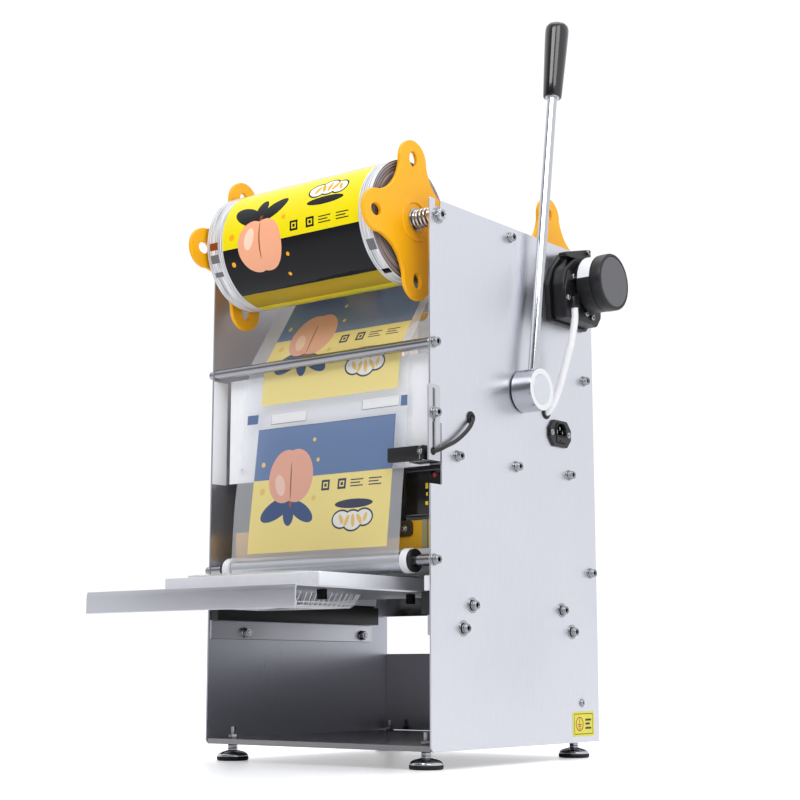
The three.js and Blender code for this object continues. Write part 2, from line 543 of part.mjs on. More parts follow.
const switchBody = block(-OUTER - GAP - 1, -INNER + SWITCH.depth, SWITCH.y0 + GAP, SWITCH.y1 - GAP,
  SWITCH.z0 + GAP, SWITCH.z1 - GAP);
const switchRim = block(-OUTER - GAP - 1.8, -OUTER - GAP, SWITCH.y0 - 1, SWITCH.y1 + 1, SWITCH.z0 - 1.3,
  SWITCH.z1 + 1.3);
const rockerRoom = block(-OUTER - 4, -OUTER + 6, SWITCH.y0 + 1.2, SWITCH.y1 - 1.2, SWITCH.z0 + 1.5,
  SWITCH.z1 - 1.5);
add('power_switch', cut(join(switchBody, switchRim), rockerRoom), blackPlastic);
const rockerMid = (SWITCH.z0 + SWITCH.z1) / 2;
const rockerShape = outline([
  [-OUTER + 4.5, rockerMid - 5.2], [-OUTER + 4.5, rockerMid + 5.2], [-OUTER - 1.2, rockerMid + 7.4],
  [-OUTER - 2.6, rockerMid], [-OUTER - 4.2, rockerMid - 7.4],
]);
const rockerSettings = { depth: SWITCH.y1 - SWITCH.y0 - 3.2, bevelEnabled: false };
const rocker = new THREE.ExtrudeGeometry(rockerShape, rockerSettings)
  .rotateX(Math.PI / 2).translate(0, SWITCH.y1 - 1.6, 0);
add('power_rocker', rocker, finish(0xc0241c, 0.35, 0));

// ---- take-up motor with its gearbox ----
const MOTOR = { y: 290, z: 550, radius: 35, x0: 188, x1: 228 };
const gearboxEdge = outline([
  [236, 500], [318, 500], [330, 512], [330, 590], [318, 602], [262, 602], [240, 578], [232, 552],
]);
const leadBoss = block(MOTOR.x0 - 2, MOTOR.x0 + 9, 247, 261, 516, 529);
add('takeup_gearbox', cut(join(platedYZ(gearboxEdge, OUTER + GAP, MOTOR.x0 - GAP), leadBoss),
  barX(AXLE_RADIUS + GAP, OUTER - 1, OUTER + 14, TAKEUP.y, TAKEUP.z, 24)), blackPlastic);
const motorNeck = { radius: 29.5, to: MOTOR.x0 + 5.5 };
add('takeup_motor', turnedX([
  [MOTOR.x0, 0], [MOTOR.x0, motorNeck.radius], [motorNeck.to, motorNeck.radius],
  [motorNeck.to, MOTOR.radius], [MOTOR.x1 - 2, MOTOR.radius], [MOTOR.x1, MOTOR.radius - 2],
  [MOTOR.x1, 0],
], MOTOR.y, MOTOR.z, 56), blackPlastic);
const motorLead = [
  [192.6, 254, 515.5], [192.6, 253.6, 499], [189.5, 251, 476], [184, 247, 450], [178, 241, 420],
  [173, 235, 400], [167.5, 231.4, 389], [161.5, 231, 388], [154, 231, 388],
].map((point) => new THREE.Vector3(...point));
add('motor_lead', swept(motorLead, 4.4, 10, 26), braid);

// ---- the whole stands with the middle of its floor outline at the origin ----
const whole = new THREE.Group();
whole.add(machine);
whole.updateMatrixWorld(true);
const bounds = new THREE.Box3().setFromObject(whole, true);
const centre = bounds.getCenter(new THREE.Vector3());
machine.position.x = -centre.x;
machine.position.y = -centre.y;

export default whole;
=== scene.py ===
"""Looks for a manual tray sealing machine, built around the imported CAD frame.

Lengths in the making code are millimetres in the machine's own plate frame: X runs from the left
side plate to the right one with 0 half way, Y starts at the plates' front edge and Z at their
bottom edge. TO_ROW takes that frame to the row's metres.
"""

import math
import random

import bmesh
import bpy
from mathutils import Matrix, Vector
from mathutils.geometry import tessellate_polygon


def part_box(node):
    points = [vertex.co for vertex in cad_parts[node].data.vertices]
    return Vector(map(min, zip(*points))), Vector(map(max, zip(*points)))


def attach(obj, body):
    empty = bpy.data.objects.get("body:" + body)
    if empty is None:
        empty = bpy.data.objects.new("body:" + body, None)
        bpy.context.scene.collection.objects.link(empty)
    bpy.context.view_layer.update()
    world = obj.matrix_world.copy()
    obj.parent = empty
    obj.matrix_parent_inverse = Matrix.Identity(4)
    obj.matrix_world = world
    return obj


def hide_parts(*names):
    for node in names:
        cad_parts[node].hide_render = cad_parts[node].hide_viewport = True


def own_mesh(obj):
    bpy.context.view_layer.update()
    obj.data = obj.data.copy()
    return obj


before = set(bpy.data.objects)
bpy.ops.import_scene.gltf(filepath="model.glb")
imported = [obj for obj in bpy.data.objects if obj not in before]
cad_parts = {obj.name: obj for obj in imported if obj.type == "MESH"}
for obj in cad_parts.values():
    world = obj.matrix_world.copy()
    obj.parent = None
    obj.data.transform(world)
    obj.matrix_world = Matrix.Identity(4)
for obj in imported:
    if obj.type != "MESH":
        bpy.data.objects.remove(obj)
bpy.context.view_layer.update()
random.seed(7)

# ---- the plate frame ----
LEFT_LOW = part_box("side_plate_left")[0]
RIGHT_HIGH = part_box("side_plate_right")[1]
ORIGIN = Vector(((LEFT_LOW.x + RIGHT_HIGH.x) / 2, LEFT_LOW.y, LEFT_LOW.z))
TO_ROW = Matrix.Translation(ORIGIN) @ Matrix.Scale(0.001, 4)

SIDES = (("left", -1), ("right", 1))
OUTER, INNER = 164.3, 162.3      # the faces of a side plate
SPAN = INNER - 0.3               # where a rod between the plates ends
SEAT = OUTER + 0.3               # where a part on a plate's outer face begins
DEPTH, HEIGHT = 339.6, 600
FLOOR = -19
MID_Y = 178.3                    # the lever shaft and the two press columns
SUPPLY = (15.4, 582)
TAKEUP = (300, 582)
ROLL_RADIUS, WASTE_RADIUS = 70, 27
SHAFT_Z, LEAN, LEVER_X = 405.5, math.radians(8.5), 178.5
UPPER_ROD, FRONT_ROLLER = (5.5, 437), (6, 200.7)
REAR_ROD, REAR_ROLLER = (318, 438), (325, 200.7)
TOP_ROD = (157, 587)
FILM_HALF = 124
ROD_RADIUS, REAR_ROD_RADIUS, ROLLER_RADIUS = 6, 5, 9.6
ROLL_BORE = 20.2


def at(x, y, z):
    """A point of the plate frame in the row's metres."""
    return TO_ROW @ Vector((x, y, z))


# ---- camera and light ----
CAMERA_PLACE = (1173.2, -1353.3, 85.75)
CAMERA_YAW, CAMERA_PITCH, CAMERA_LENS = 0.660, 0.168, 71.39


def make_camera():
    data = bpy.data.cameras.new("camera")
    data.lens, data.sensor_width = CAMERA_LENS, 36
    camera = bpy.data.objects.new("camera", data)
    camera.location = at(*CAMERA_PLACE)
    camera.rotation_euler = (math.pi / 2 + CAMERA_PITCH, 0, CAMERA_YAW)
    bpy.context.scene.collection.objects.link(camera)
    bpy.context.scene.camera = camera


def make_light(name, place, size, power, target=(0, 0.05, 0.4)):
    data = bpy.data.lights.new(name, "AREA")
    data.shape, data.size, data.size_y, data.energy = "RECTANGLE", *size, power
    lamp = bpy.data.objects.new(name, data)
    lamp.location = place
    lamp.rotation_euler = (Vector(target) - Vector(place)).to_track_quat("-Z", "Y").to_euler()
    bpy.context.scene.collection.objects.link(lamp)


ROOM_FRONT, ROOM_SIDES = 0.16, 1.03  # how bright the room is, as light
DIM_UP_TO, BRIGHT_FROM = -0.85, -0.3  # the Y of a direction that sees each
SEEN_WHITE = 1.05


def make_world():
    """White to the camera; as light, a white room that is dim on the side in front of the machine."""
    world = bpy.data.worlds.new("studio")
    world.use_nodes = True
    bpy.context.scene.world = world
    nodes, links = world.node_tree.nodes, world.node_tree.links
    room, seen = nodes["Background"], nodes.new("ShaderNodeBackground")
    room.inputs["Color"].default_value = (0.96, 0.97, 1, 1)
    direction = nodes.new("ShaderNodeSeparateXYZ")
    links.new(nodes.new("ShaderNodeTexCoord").outputs["Generated"], direction.inputs[0])
    falloff = nodes.new("ShaderNodeMapRange")
    falloff.interpolation_type = "SMOOTHSTEP"
    for key, value in (("From Min", DIM_UP_TO), ("From Max", BRIGHT_FROM), ("To Min", ROOM_FRONT),
                       ("To Max", ROOM_SIDES)):
        falloff.inputs[key].default_value = value
    links.new(direction.outputs["Y"], falloff.inputs["Value"])
    links.new(falloff.outputs[0], room.inputs["Strength"])
    seen.inputs["Color"].default_value = (1, 1, 1, 1)
    seen.inputs["Strength"].default_value = SEEN_WHITE
    path, mix = nodes.new("ShaderNodeLightPath"), nodes.new("ShaderNodeMixShader")
    links.new(path.outputs["Is Camera Ray"], mix.inputs[0])
    links.new(room.outputs[0], mix.inputs[1])
    links.new(seen.outputs[0], mix.inputs[2])
    links.new(mix.outputs[0], nodes["World Output"].inputs["Surface"])


make_camera()
make_world()
make_light("key", (2.0, -1.4, 2.3), (1.4, 1.4), 20)
make_light("front_high", (0.3, -2.4, 2.6), (1.6, 1.2), 31)
make_light("top", (0.1, 0.3, 2.6), (1.6, 1.6), 14)
bpy.context.scene.view_settings.view_transform = "Standard"


# ---- materials ----
class Tree:
    """A material's node tree, with short calls for the nodes used here."""

    def __init__(self, name, slot):
        self.material = bpy.data.materials.new(name)
        self.material.use_nodes = True
        self.material["slot"] = slot
        self.nodes = self.material.node_tree.nodes
        self.shader = self.nodes["Principled BSDF"]
        self.place = self.nodes.new("ShaderNodeTexCoord").outputs["Object"]

    def link(self, source, socket):
        self.material.node_tree.links.new(source, socket)

    def put(self, value, socket):
        if isinstance(value, bpy.types.NodeSocket):
            self.link(value, socket)
        elif socket.type == "RGBA":
            socket.default_value = (*value[:3], 1)
        else:
            socket.default_value = value

    def set(self, **sockets):
        for key, value in sockets.items():
            self.put(value, self.shader.inputs[key.replace("_", " ")])
        return self

    def math(self, operation, a, b=0.0, clamp=False):
        node = self.nodes.new("ShaderNodeMath")
        node.operation, node.use_clamp = operation, clamp
        self.put(a, node.inputs[0])
        self.put(b, node.inputs[1])
        return node.outputs[0]

    def vector(self, operation, a, b=(0, 0, 0)):
        node = self.nodes.new("ShaderNodeVectorMath")
        node.operation = operation
        self.put(a, node.inputs[0])
        self.put(b, node.inputs[1])
        return node.outputs["Value" if operation == "LENGTH" else "Vector"]

    def split(self, vector):
        node = self.nodes.new("ShaderNodeSeparateXYZ")
        self.link(vector, node.inputs[0])
        return node.outputs

    def mapped(self, vector, location=(0, 0, 0), angle=0.0, scale=(1, 1, 1)):
        """The vector in a frame that sits at location, is turned by angle and is scale big."""
        node = self.nodes.new("ShaderNodeMapping")
        node.vector_type = "TEXTURE"
        self.link(vector, node.inputs["Vector"])
        node.inputs["Location"].default_value = location
        node.inputs["Rotation"].default_value = (0, 0, angle)
        node.inputs["Scale"].default_value = scale
        return node.outputs[0]

    def noise(self, scale, detail=3.0, vector=None, rough=0.55):
        node = self.nodes.new("ShaderNodeTexNoise")
        node.inputs["Scale"].default_value = 1
        node.inputs["Detail"].default_value = detail
        node.inputs["Roughness"].default_value = rough
        if not isinstance(scale, tuple):
            scale = (scale, scale, scale)
        self.link(self.vector("MULTIPLY", vector or self.place, scale), node.inputs["Vector"])
        return node.outputs[0]

    def range(self, value, low, high, start=0.3, end=0.7):
        node = self.nodes.new("ShaderNodeMapRange")
        self.put(value, node.inputs["Value"])
        for key, number in (("From Min", start), ("From Max", end), ("To Min", low), ("To Max", high)):
            node.inputs[key].default_value = number
        return node.outputs[0]

    def mix(self, factor, a, b):
        node = self.nodes.new("ShaderNodeMix")
        node.data_type = "RGBA"
        self.put(factor, node.inputs["Factor"])
        color_a, color_b, color_out = node.inputs[6], node.inputs[7], node.outputs[2]
        self.put(a, color_a)
        self.put(b, color_b)
        return color_out

    def bump(self, height, strength, distance=0.0002):
        node = self.nodes.new("ShaderNodeBump")
        node.inputs["Strength"].default_value = strength
        node.inputs["Distance"].default_value = distance
        self.link(height, node.inputs["Height"])
        self.link(node.outputs[0], self.shader.inputs["Normal"])


def linear(*rgb):
    """Linear colour from the 0 to 255 numbers of a screen."""
    return tuple((c / 255 / 12.92) if c <= 10 else ((c / 255 + 0.055) / 1.055) ** 2.4 for c in rgb)


def shade(color, factor):
    return tuple(min(1.0, c * factor) for c in color)


def surface(name, slot, rgb, roughness, metallic=0.0, grain=900, tint=0.05, spread=0.06,
            bump=0.08, cloud=6.0, **sockets):
    """A finish with fine grain in bump and roughness, and slow patches in its colour."""
    tree = Tree(name, slot)
    color = linear(*rgb)
    fine = tree.noise(grain)
    slow = tree.noise(cloud, 2.0)
    both = tree.math("ADD", tree.math("MULTIPLY", fine, 0.5), tree.math("MULTIPLY", slow, 0.5))
    tree.set(Base_Color=tree.mix(tree.range(both, 0, 1), shade(color, 1 - tint), shade(color, 1 + tint)),
             Roughness=tree.range(both, max(0.02, roughness - spread), roughness + spread),
             Metallic=metallic, **sockets)
    tree.bump(fine, bump)
    return tree.material


# In turn: the right plate; the left plate, in a darker copy that is painted shade; the parts in the
# plates' shade, in a darker copy still, also painted shade; and the other sheet metal.
stainless = surface("stainless_plate", "stainless", (220, 221, 227), 0.34, 1, (40, 1500, 40), 0.06, 0.07,
                    0.05, 3.5)
stainless_left_painted_shade = surface("stainless_left_painted_shade", "stainless", (190, 192, 201), 0.3, 0.75, (40, 1500, 40),
                           0.03, 0.03, 0.01)
stainless_shaded = surface("stainless_shaded", "stainless", (158, 156, 157), 0.2, 1, (40, 900, 1500), 0.05,
                           0.06, 0.04)
stainless_flat = surface("stainless_flat", "stainless", (205, 206, 211), 0.38, 1, (40, 900, 1500), 0.05,
                         0.08, 0.06)
steel = surface("steel_turned", "steel", (164, 165, 169), 0.18, 1, (1500, 60, 60), 0.06, 0.08, 0.05)
zinc = surface("zinc_screw", "steel", (170, 171, 174), 0.2, 1, 700, 0.1, 0.08, 0.05)
# dark metal for the slots and socket bottoms of screws and nuts: painted shade in their recesses
recess_shade_steel = surface("recess_shade_steel", "steel", (70, 71, 74), 0.42, 1, 700, 0.1, 0.1, 0.1)
socket_shade = surface("socket_shade", "steel", (22, 22, 23), 0.5, 1, 700, 0.1, 0.1, 0.1)
chrome = surface("chrome_rod", "chrome", (196, 198, 203), 0.08, 1, 200, 0.05, 0.03, 0.05)
hub_steel = surface("hub_steel", "steel", (182, 183, 187), 0.14, 1, (1800, 30, 30), 0.06, 0.08, 0.08)
hub_centre = surface("hub_centre", "steel", (224, 225, 230), 0.36, 1, 900, 0.03, 0.08, 0.04)
hub_white = surface("hub_faced_steel", "steel", (240, 240, 243), 0.4, 0.6, 900, 0.02, 0.08, 0.04)
aluminium = surface("aluminium_milled", "aluminium", (244, 245, 249), 0.46, 0.5, (90, 1600, 90), 0.04, 0.08,
                    0.06)
roller_metal = surface("roller_metal", "aluminium", (206, 208, 213), 0.13, 1, (1500, 40, 40), 0.05, 0.06,
                       0.04)
white_paint = surface("white_powder_coat", "white_paint", (250, 251, 255), 0.42, 0, 1100, 0.02, 0.05, 0.12)
white_nylon = surface("white_nylon", "white_paint", (236, 237, 240), 0.36, 0, 500, 0.03, 0.05, 0.05)
black_plastic = surface("black_moulded", "black_plastic", (17, 17, 19), 0.42, 0, 1300, 0.15, 0.06, 0.2)
black_gloss = surface("black_gloss_grip", "black_gloss", (10, 10, 11), 0.16, 0, 300, 0.1, 0.04, 0.03,
                      Coat_Weight=0.6, Coat_Roughness=0.08)
grey_plastic = surface("grey_moulded", "grey_plastic", (92, 92, 95), 0.48, 0, 1300, 0.06, 0.06, 0.15)
rubber = surface("foot_rubber", "rubber", (24, 24, 25), 0.7, 0, 900, 0.15, 0.08, 0.3)
pad_black = surface("stop_pad_rubber", "black_rubber", (5, 5, 5), 0.85, 0, 900, 0.2, 0.08, 0.1,
                    Specular_IOR_Level=0.15)
cable_rubber = surface("cable_rubber", "black_rubber", (14, 14, 15), 0.42, 0, 900, 0.15, 0.08, 0.1)
yellow_plastic = surface("flange_plastic", "yellow_plastic", (255, 180, 4), 0.36, 0, 1000, 0.04, 0.06,
                         0.15, Specular_IOR_Level=0.35)
amber_board = surface("amber_board", "epoxy_board", (214, 160, 22), 0.42, 0, (120, 120, 1400), 0.09, 0.08,
                      0.12)
dark_board = surface("dark_board", "epoxy_board", (58, 46, 26), 0.5, 0, (200, 200, 1200), 0.15, 0.08, 0.12)
olive_board = surface("olive_board", "epoxy_board", (150, 146, 110), 0.5, 0, (200, 200, 1200), 0.1, 0.08,
                      0.1)
silicone = surface("silicone_seal", "silicone", (214, 211, 205), 0.62, 0, 800, 0.06, 0.06, 0.15)
red_plastic = surface("red_rocker", "red_plastic", (196, 26, 20), 0.26, 0, 900, 0.05, 0.05, 0.05,
                      Coat_Weight=0.3)
dull_red = surface("red_lamp", "red_plastic", (170, 52, 40), 0.3, 0, 500, 0.12, 0.05, 0.05)
label_white = surface("label_white", "white_paint", (238, 239, 242), 0.3, 0, 900, 0.02, 0.04, 0.03)
label_yellow = surface("label_yellow", "yellow_plastic", (250, 214, 24), 0.34, 0, 900, 0.03, 0.04, 0.03)
sticker_green = surface("sticker_yellow_green", "yellow_plastic", (226, 218, 60), 0.34, 0, 900, 0.03, 0.04,
                        0.03)
label_black = surface("label_black", "black_plastic", (22, 22, 22), 0.36, 0, 900, 0.1, 0.04, 0.03)


# ---- making shapes ----
ALONG_X = Matrix(((0, 0, 1, 0), (1, 0, 0, 0), (0, 1, 0, 0), (0, 0, 0, 1)))
ALONG_Y = Matrix(((1, 0, 0, 0), (0, 0, 1, 0), (0, 1, 0, 0), (0, 0, 0, 1)))


def on_x(y=0.0, z=0.0, x=0.0):
    """Local x, y, z become Y, Z, X around the point."""
    return Matrix.Translation((x, y, z)) @ ALONG_X


def outward(side, y, z):
    """on_x for side 1, and its mirror image about the middle of the machine for side -1."""
    return on_x(y, z) if side > 0 else on_x(y, z) @ Matrix.Diagonal((1, 1, -1, 1))


def span(side, a, b):
    """The stretch of x from a to b for side 1, and its mirror image for side -1."""
    return (a, b) if side > 0 else (-b, -a)


def on_y(x=0.0, z=0.0, y=0.0):
    """Local x, y, z become X, Z, Y around the point."""
    return Matrix.Translation((x, y, z)) @ ALONG_Y


def on_z(x=0.0, y=0.0, z=0.0):
    return Matrix.Translation((x, y, z))


def circle(radius, centre=(0, 0), steps=32, start=0.0, end=2 * math.pi):
    """Points round a circle, or along an arc with both ends."""
    whole = abs(end - start) > 2 * math.pi - 1e-6
    count = steps if whole else steps + 1
    turn = (end - start) / steps
    return [(centre[0] + radius * math.cos(start + turn * i),
             centre[1] + radius * math.sin(start + turn * i))
            for i in range(count)]


def rounded(corners, radius=0.0, closed=True):
    """A polygon with round corners. A corner is (a, b) or (a, b, its own radius)."""
    points, count = [], len(corners)
    for i, corner in enumerate(corners):
        here = Vector(corner[:2])
        r = corner[2] if len(corner) > 2 else radius
        if r <= 0 or (not closed and i in (0, count - 1)):
            points.append(tuple(here))
            continue
        before = (Vector(corners[i - 1][:2]) - here).normalized()
        after = (Vector(corners[(i + 1) % count][:2]) - here).normalized()
        half = before.angle(after) / 2
        reach = r / math.tan(half)
        centre = here + (before + after).normalized() * (r / math.sin(half))
        first, last = here + before * reach - centre, here + after * reach - centre
        turn = math.atan2(first.x * last.y - first.y * last.x, first.dot(last))
        steps = max(2, math.ceil(abs(turn) / math.radians(15)))
        base = math.atan2(first.y, first.x)
        points += [(centre.x + r * math.cos(base + turn * k / steps),
                    centre.y + r * math.sin(base + turn * k / steps)) for k in range(steps + 1)]
    return points


def box_outline(a0, a1, b0, b1, radius=0.0):
    return rounded([(a0, b0), (a1, b0), (a1, b1), (a0, b1)], radius)


def grown(polygon, distance):
    """The polygon with every edge moved out to the right of its direction by distance."""
    result, count = [], len(polygon)
    for i in range(count):
        a, b, c = (Vector(polygon[k % count]) for k in (i - 1, i, i + 1))
        first, second = (b - a).normalized(), (c - b).normalized()
        n1, n2 = Vector((first.y, -first.x)), Vector((second.y, -second.x))
        mitre = n1 + n2
        size = mitre.length_squared
        result.append(tuple(b + (mitre * (2 * distance / size) if size > 1e-6 else n1 * distance)))
    return result


def signed_area(polygon):
    return sum(p[0] * q[1] - q[0] * p[1] for p, q in zip(polygon, polygon[1:] + polygon[:1])) / 2


def smooth_path(points, per_span=8):
    """A Catmull-Rom line through the points."""
    p = [Vector(q) for q in points]
    p = [2 * p[0] - p[1], *p, 2 * p[-1] - p[-2]]
    line = []
    for i in range(1, len(p) - 2):
        for k in range(per_span):
            t = k / per_span
            line.append(0.5 * (2 * p[i] + (p[i + 1] - p[i - 1]) * t
                               + (2 * p[i - 1] - 5 * p[i] + 4 * p[i + 1] - p[i + 2]) * t * t
                               + (3 * p[i] - p[i - 1] - 3 * p[i + 1] + p[i + 2]) * t ** 3))
    line.append(p[-2])
    return line


class Piece:
    """One visible piece, put together from turned, flat and swept shapes in millimetres."""

    def __init__(self):
        self.bm = bmesh.new()
        self.materials = []

    def _index(self, material):
        if material not in self.materials:
            self.materials.append(material)
        return self.materials.index(material)

    def _ring(self, points, place):
        return [self.bm.verts.new(place @ Vector(p)) for p in points]

    def _face(self, verts, index):
        if len(verts) > 2 and not self.bm.faces.get(verts):
            self.bm.faces.new(verts).material_index = index

    def _band(self, low, high, index):
        count = len(low)
        for i in range(count):
            j = (i + 1) % count
            quad = [low[i], low[j], high[j], high[i]]
            self._face([v for k, v in enumerate(quad) if v not in quad[:k]], index)

    def turned(self, profile, place, material, steps=48, start=0.0):
        """A lathe shape round local z. Profile points are (along, radius)."""
        index, rings = self._index(material), []
        closed = profile[0] == profile[-1]
        for along, radius in (profile[:-1] if closed else profile):
            if radius < 1e-6:
                rings.append(self._ring([(0, 0, along)], place) * steps)
            else:
                rings.append(self._ring([(x, y, along) for x, y in circle(radius, steps=steps, start=start,
                                                                          end=start + 2 * math.pi)], place))
        for low, high in zip(rings, rings[1:] + (rings[:1] if closed else [])):
            self._band(low, high, index)
        return self

    def rod(self, radius, start, end, place, material, chamfer=0.6, steps=40):
        return self.turned([(start, 0), (start, radius - chamfer), (start + chamfer, radius),
                            (end - chamfer, radius), (end, radius - chamfer), (end, 0)], place, material,
                           steps)

    def flat(self, outline, start, end, place, material, holes=(), edge=0.35, steps=2):
        """A plate with its outline in local x and y and its thickness along z, with soft edges."""
        index = self._index(material)
        loops = []
        for k, polygon in enumerate([outline, *holes]):
            loops.append(polygon if (signed_area(polygon) > 0) == (k == 0) else polygon[::-1])
        levels = []
        for k in range(steps + 1):
            turn = math.pi / 2 * k / steps
            levels.append((start + edge * (1 - math.cos(turn)), -edge * (1 - math.sin(turn))))
        levels += [(start + end - z, inset) for z, inset in reversed(levels)]
        if edge <= 0:
            levels = [(start, 0), (end, 0)]
        rings = [[self._ring([(x, y, z) for x, y in grown(loop, inset)], place) for loop in loops]
                 for z, inset in levels]
        for low, high in zip(rings, rings[1:]):
            for a, b in zip(low, high):
                self._band(a, b, index)
        for level, ring in ((levels[0], rings[0]), (levels[-1], rings[-1])):
            flat_loops = [[Vector((x, y, 0)) for x, y in grown(loop, level[1])] for loop in loops]
            verts = [v for loop in ring for v in loop]
            for triangle in tessellate_polygon(flat_loops):
                self._face([verts[i] for i in triangle], index)
            for loop in ring:
                for a, b in zip(loop, loop[1:] + loop[:1]):
                    border = self.bm.edges.get((a, b))
                    if border:
                        border.smooth = False
        return self

    def block(self, x0, x1, y0, y1, z0, z1, material, edge=0.4, corner=0.0):
        return self.flat(box_outline(x0, x1, y0, y1, corner), z0, z1, on_z(), material, edge=edge)

    def swept(self, line, radius, material, sides=12, place=Matrix()):
        """A round tube along a line of points; radius is a number or a function of the share passed."""
        index = self._index(material)
        line = [Vector(p) for p in line]
        tangent = (line[1] - line[0]).normalized()
        side = tangent.orthogonal().normalized()
        rings = []
        for i, point in enumerate(line):
            ahead = line[min(i + 1, len(line) - 1)] - line[max(i - 1, 0)]
            ahead.normalize()
            side = (side - ahead * side.dot(ahead)).normalized()
            other = ahead.cross(side)
            r = radius(i / (len(line) - 1)) if callable(radius) else radius
            rings.append(self._ring([point + side * x + other * y for x, y in circle(r, steps=sides)],
                                    place))
        for low, high in zip(rings, rings[1:]):
            self._band(low, high, index)
        self._face(rings[0][::-1], index)
        self._face(rings[-1], index)
        return self

    def coil(self, radius, wire, start, end, turns, place, material, sides=10, per_turn=28, ground=0.75):
        """A spring round local z whose end turns lie flat."""
        line, steps = [], int(turns * per_turn)
        for i in range(steps + 1):
            turn = i / per_turn
            share = min(max((turn - ground) / (turns - 2 * ground), 0), 1)
            z = start + wire + (end - start - 2 * wire) * share
            line.append((radius * math.cos(2 * math.pi * turn), radius * math.sin(2 * math.pi * turn), z))
        return self.swept(line, wire, material, sides, place)

    def done(self, name, body, replaces=(), sharp=32, scale=TO_ROW, link=True):
        bm = self.bm
        bmesh.ops.remove_doubles(bm, verts=bm.verts, dist=1e-4)
        bmesh.ops.recalc_face_normals(bm, faces=bm.faces)
        for face in bm.faces:
            face.smooth = True
        for line in bm.edges:
            if len(line.link_faces) == 2 and line.calc_face_angle(0) > math.radians(sharp):
                line.smooth = False
        bmesh.ops.transform(bm, matrix=scale, verts=bm.verts)
        mesh = bpy.data.meshes.new(name)
        bm.to_mesh(mesh)
        bm.free()
        for material in self.materials:
            mesh.materials.append(material)
        if not link:
            return mesh
        return show(name, mesh, body, replaces)


def show(name, mesh, body, replaces=(), matrix=None):
    """Links a mesh as a piece that rides on a body."""
    thing = bpy.data.objects.new(name, mesh)
    if matrix is not None:
        thing.matrix_world = matrix
    bpy.context.scene.collection.objects.link(thing)
    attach(thing, body)
    if replaces:
        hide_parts(*replaces)
    return thing


def keep(node, material, edge=0.0004, segments=2):
    """A CAD node that is shown as it is, with its edges broken and a better material."""
    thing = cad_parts[node]
    thing.data.materials.clear()
    thing.data.materials.append(material)
    weld = thing.modifiers.new("weld", "WELD")
    weld.merge_threshold = 1e-6
    soft = thing.modifiers.new("edges", "BEVEL")
    soft.width, soft.segments, soft.limit_method = edge, segments, "ANGLE"
    soft.angle_limit = math.radians(35)
    soft.harden_normals = True
    return thing


# ---- screws, washers and nuts, made once at the origin with their axis along +Z ----
LOCAL = Matrix.Scale(0.001, 4)


def ridged(radius, count, depth):
    """A circle with count small teeth."""
    return [((radius - depth * (i % 2)) * math.cos(math.pi * i / count),
             (radius - depth * (i % 2)) * math.sin(math.pi * i / count)) for i in range(2 * count)]


def hexagon(across):
    radius = across / math.sqrt(3)
    return circle(radius, steps=6)


def washer(piece, outer, bore, start, thick, material, place=Matrix()):
    ring = [(start, bore), (start, outer - 0.3), (start + 0.3, outer), (start + thick - 0.3, outer),
            (start + thick, outer - 0.3), (start + thick, bore), (start, bore)]
    piece.turned(ring, place, material, 40)


def cap_screw(name, head, height, socket, washer_radius, metal):
    """A knurled socket-cap screw, on a plain and a spring washer unless washer_radius is 0."""
    piece = Piece()
    if washer_radius:
        washer(piece, washer_radius, head * 0.4, 0, 1.2, metal)
        washer(piece, head + 0.35, head * 0.4, 1.2, 1.1, metal)
    seat = 2.3 if washer_radius else 0
    top = seat + height
    piece.flat(ridged(head, 30, 0.16), seat, top - 0.8, on_z(), metal, [hexagon(socket)], edge=0.1, steps=1)
    piece.turned([(top - 0.8, socket * 0.66), (top - 0.8, head - 0.1), (top - 0.25, head - 0.3),
                  (top, head - 0.9), (top, socket * 0.66), (top - 0.8, socket * 0.66)], on_z(), metal, 40)
    piece.turned([(seat, 0), (seat, head - 1), (seat + height * 0.4, head - 1), (seat + height * 0.4, 0)],
                 on_z(), socket_shade, 24)
    return piece.done(name, None, scale=LOCAL, link=False)


def pan_screw(name, head, height, metal):
    """A cross-slot screw with a domed head on a thin washer."""
    piece = Piece()
    washer(piece, head + 1.6, head * 0.4, 0, 0.8, metal)
    dome = [(0.8 + height * math.sin(t), head * math.cos(t) ** 0.6) for t in
            [math.radians(a) for a in (0, 20, 40, 60, 75)]]
    piece.turned([(0.8, 0), *dome, (0.8 + height, 0)], on_z(), metal, 32)
    # the cross slot is a dark cross on the dome, with no recess cut: painted shade
    for turn in (0, math.pi / 2):
        piece.flat([(x * math.cos(turn) - y * math.sin(turn), x * math.sin(turn) + y * math.cos(turn))
                    for x, y in box_outline(-head * 0.6, head * 0.6, -head * 0.13, head * 0.13)],
                   0.9 + height * 0.7, 0.82 + height, on_z(), recess_shade_steel, edge=0)
    return piece.done(name, None, scale=LOCAL, link=False)


def hex_nut(name, across, height, washer_radius, metal):
    """A nut on its washer, with the end of its screw."""
    piece = Piece()
    washer(piece, washer_radius, 3, 0, 1.5, metal)
    piece.flat(hexagon(across), 1.5, 1.5 + height, on_z(), metal, edge=0.5)
    piece.rod(across * 0.28, 1.5, 2.6 + height, on_z(), metal, 0.4, 24)
    return piece.done(name, None, scale=LOCAL, link=False)


M6 = cap_screw("m6_cap_screw", 5, 5, 5, 6.6, zinc)
M6_BIG = cap_screw("m6_cap_screw_on_wide_washer", 5, 5, 5, 8.6, zinc)
M4 = cap_screw("m4_cap_screw", 3.5, 3.6, 3, 0, zinc)
PAN = pan_screw("m4_pan_screw", 3.6, 2.0, zinc)
PAN_SMALL = pan_screw("m3_pan_screw", 2.6, 1.5, zinc)
PAN_WHITE = pan_screw("m4_white_pan_screw", 3.9, 2.2, white_paint)
PAN_BARE = pan_screw("m3_bare_pan_screw", 2.0, 1.5, zinc)
NUT = hex_nut("m6_nut", 10, 4.6, 6.4, zinc)

DIRECTIONS = {"+x": (1, 0, 0), "-x": (-1, 0, 0), "+y": (0, 1, 0), "-y": (0, -1, 0), "+z": (0, 0, 1),
              "-z": (0, 0, -1)}


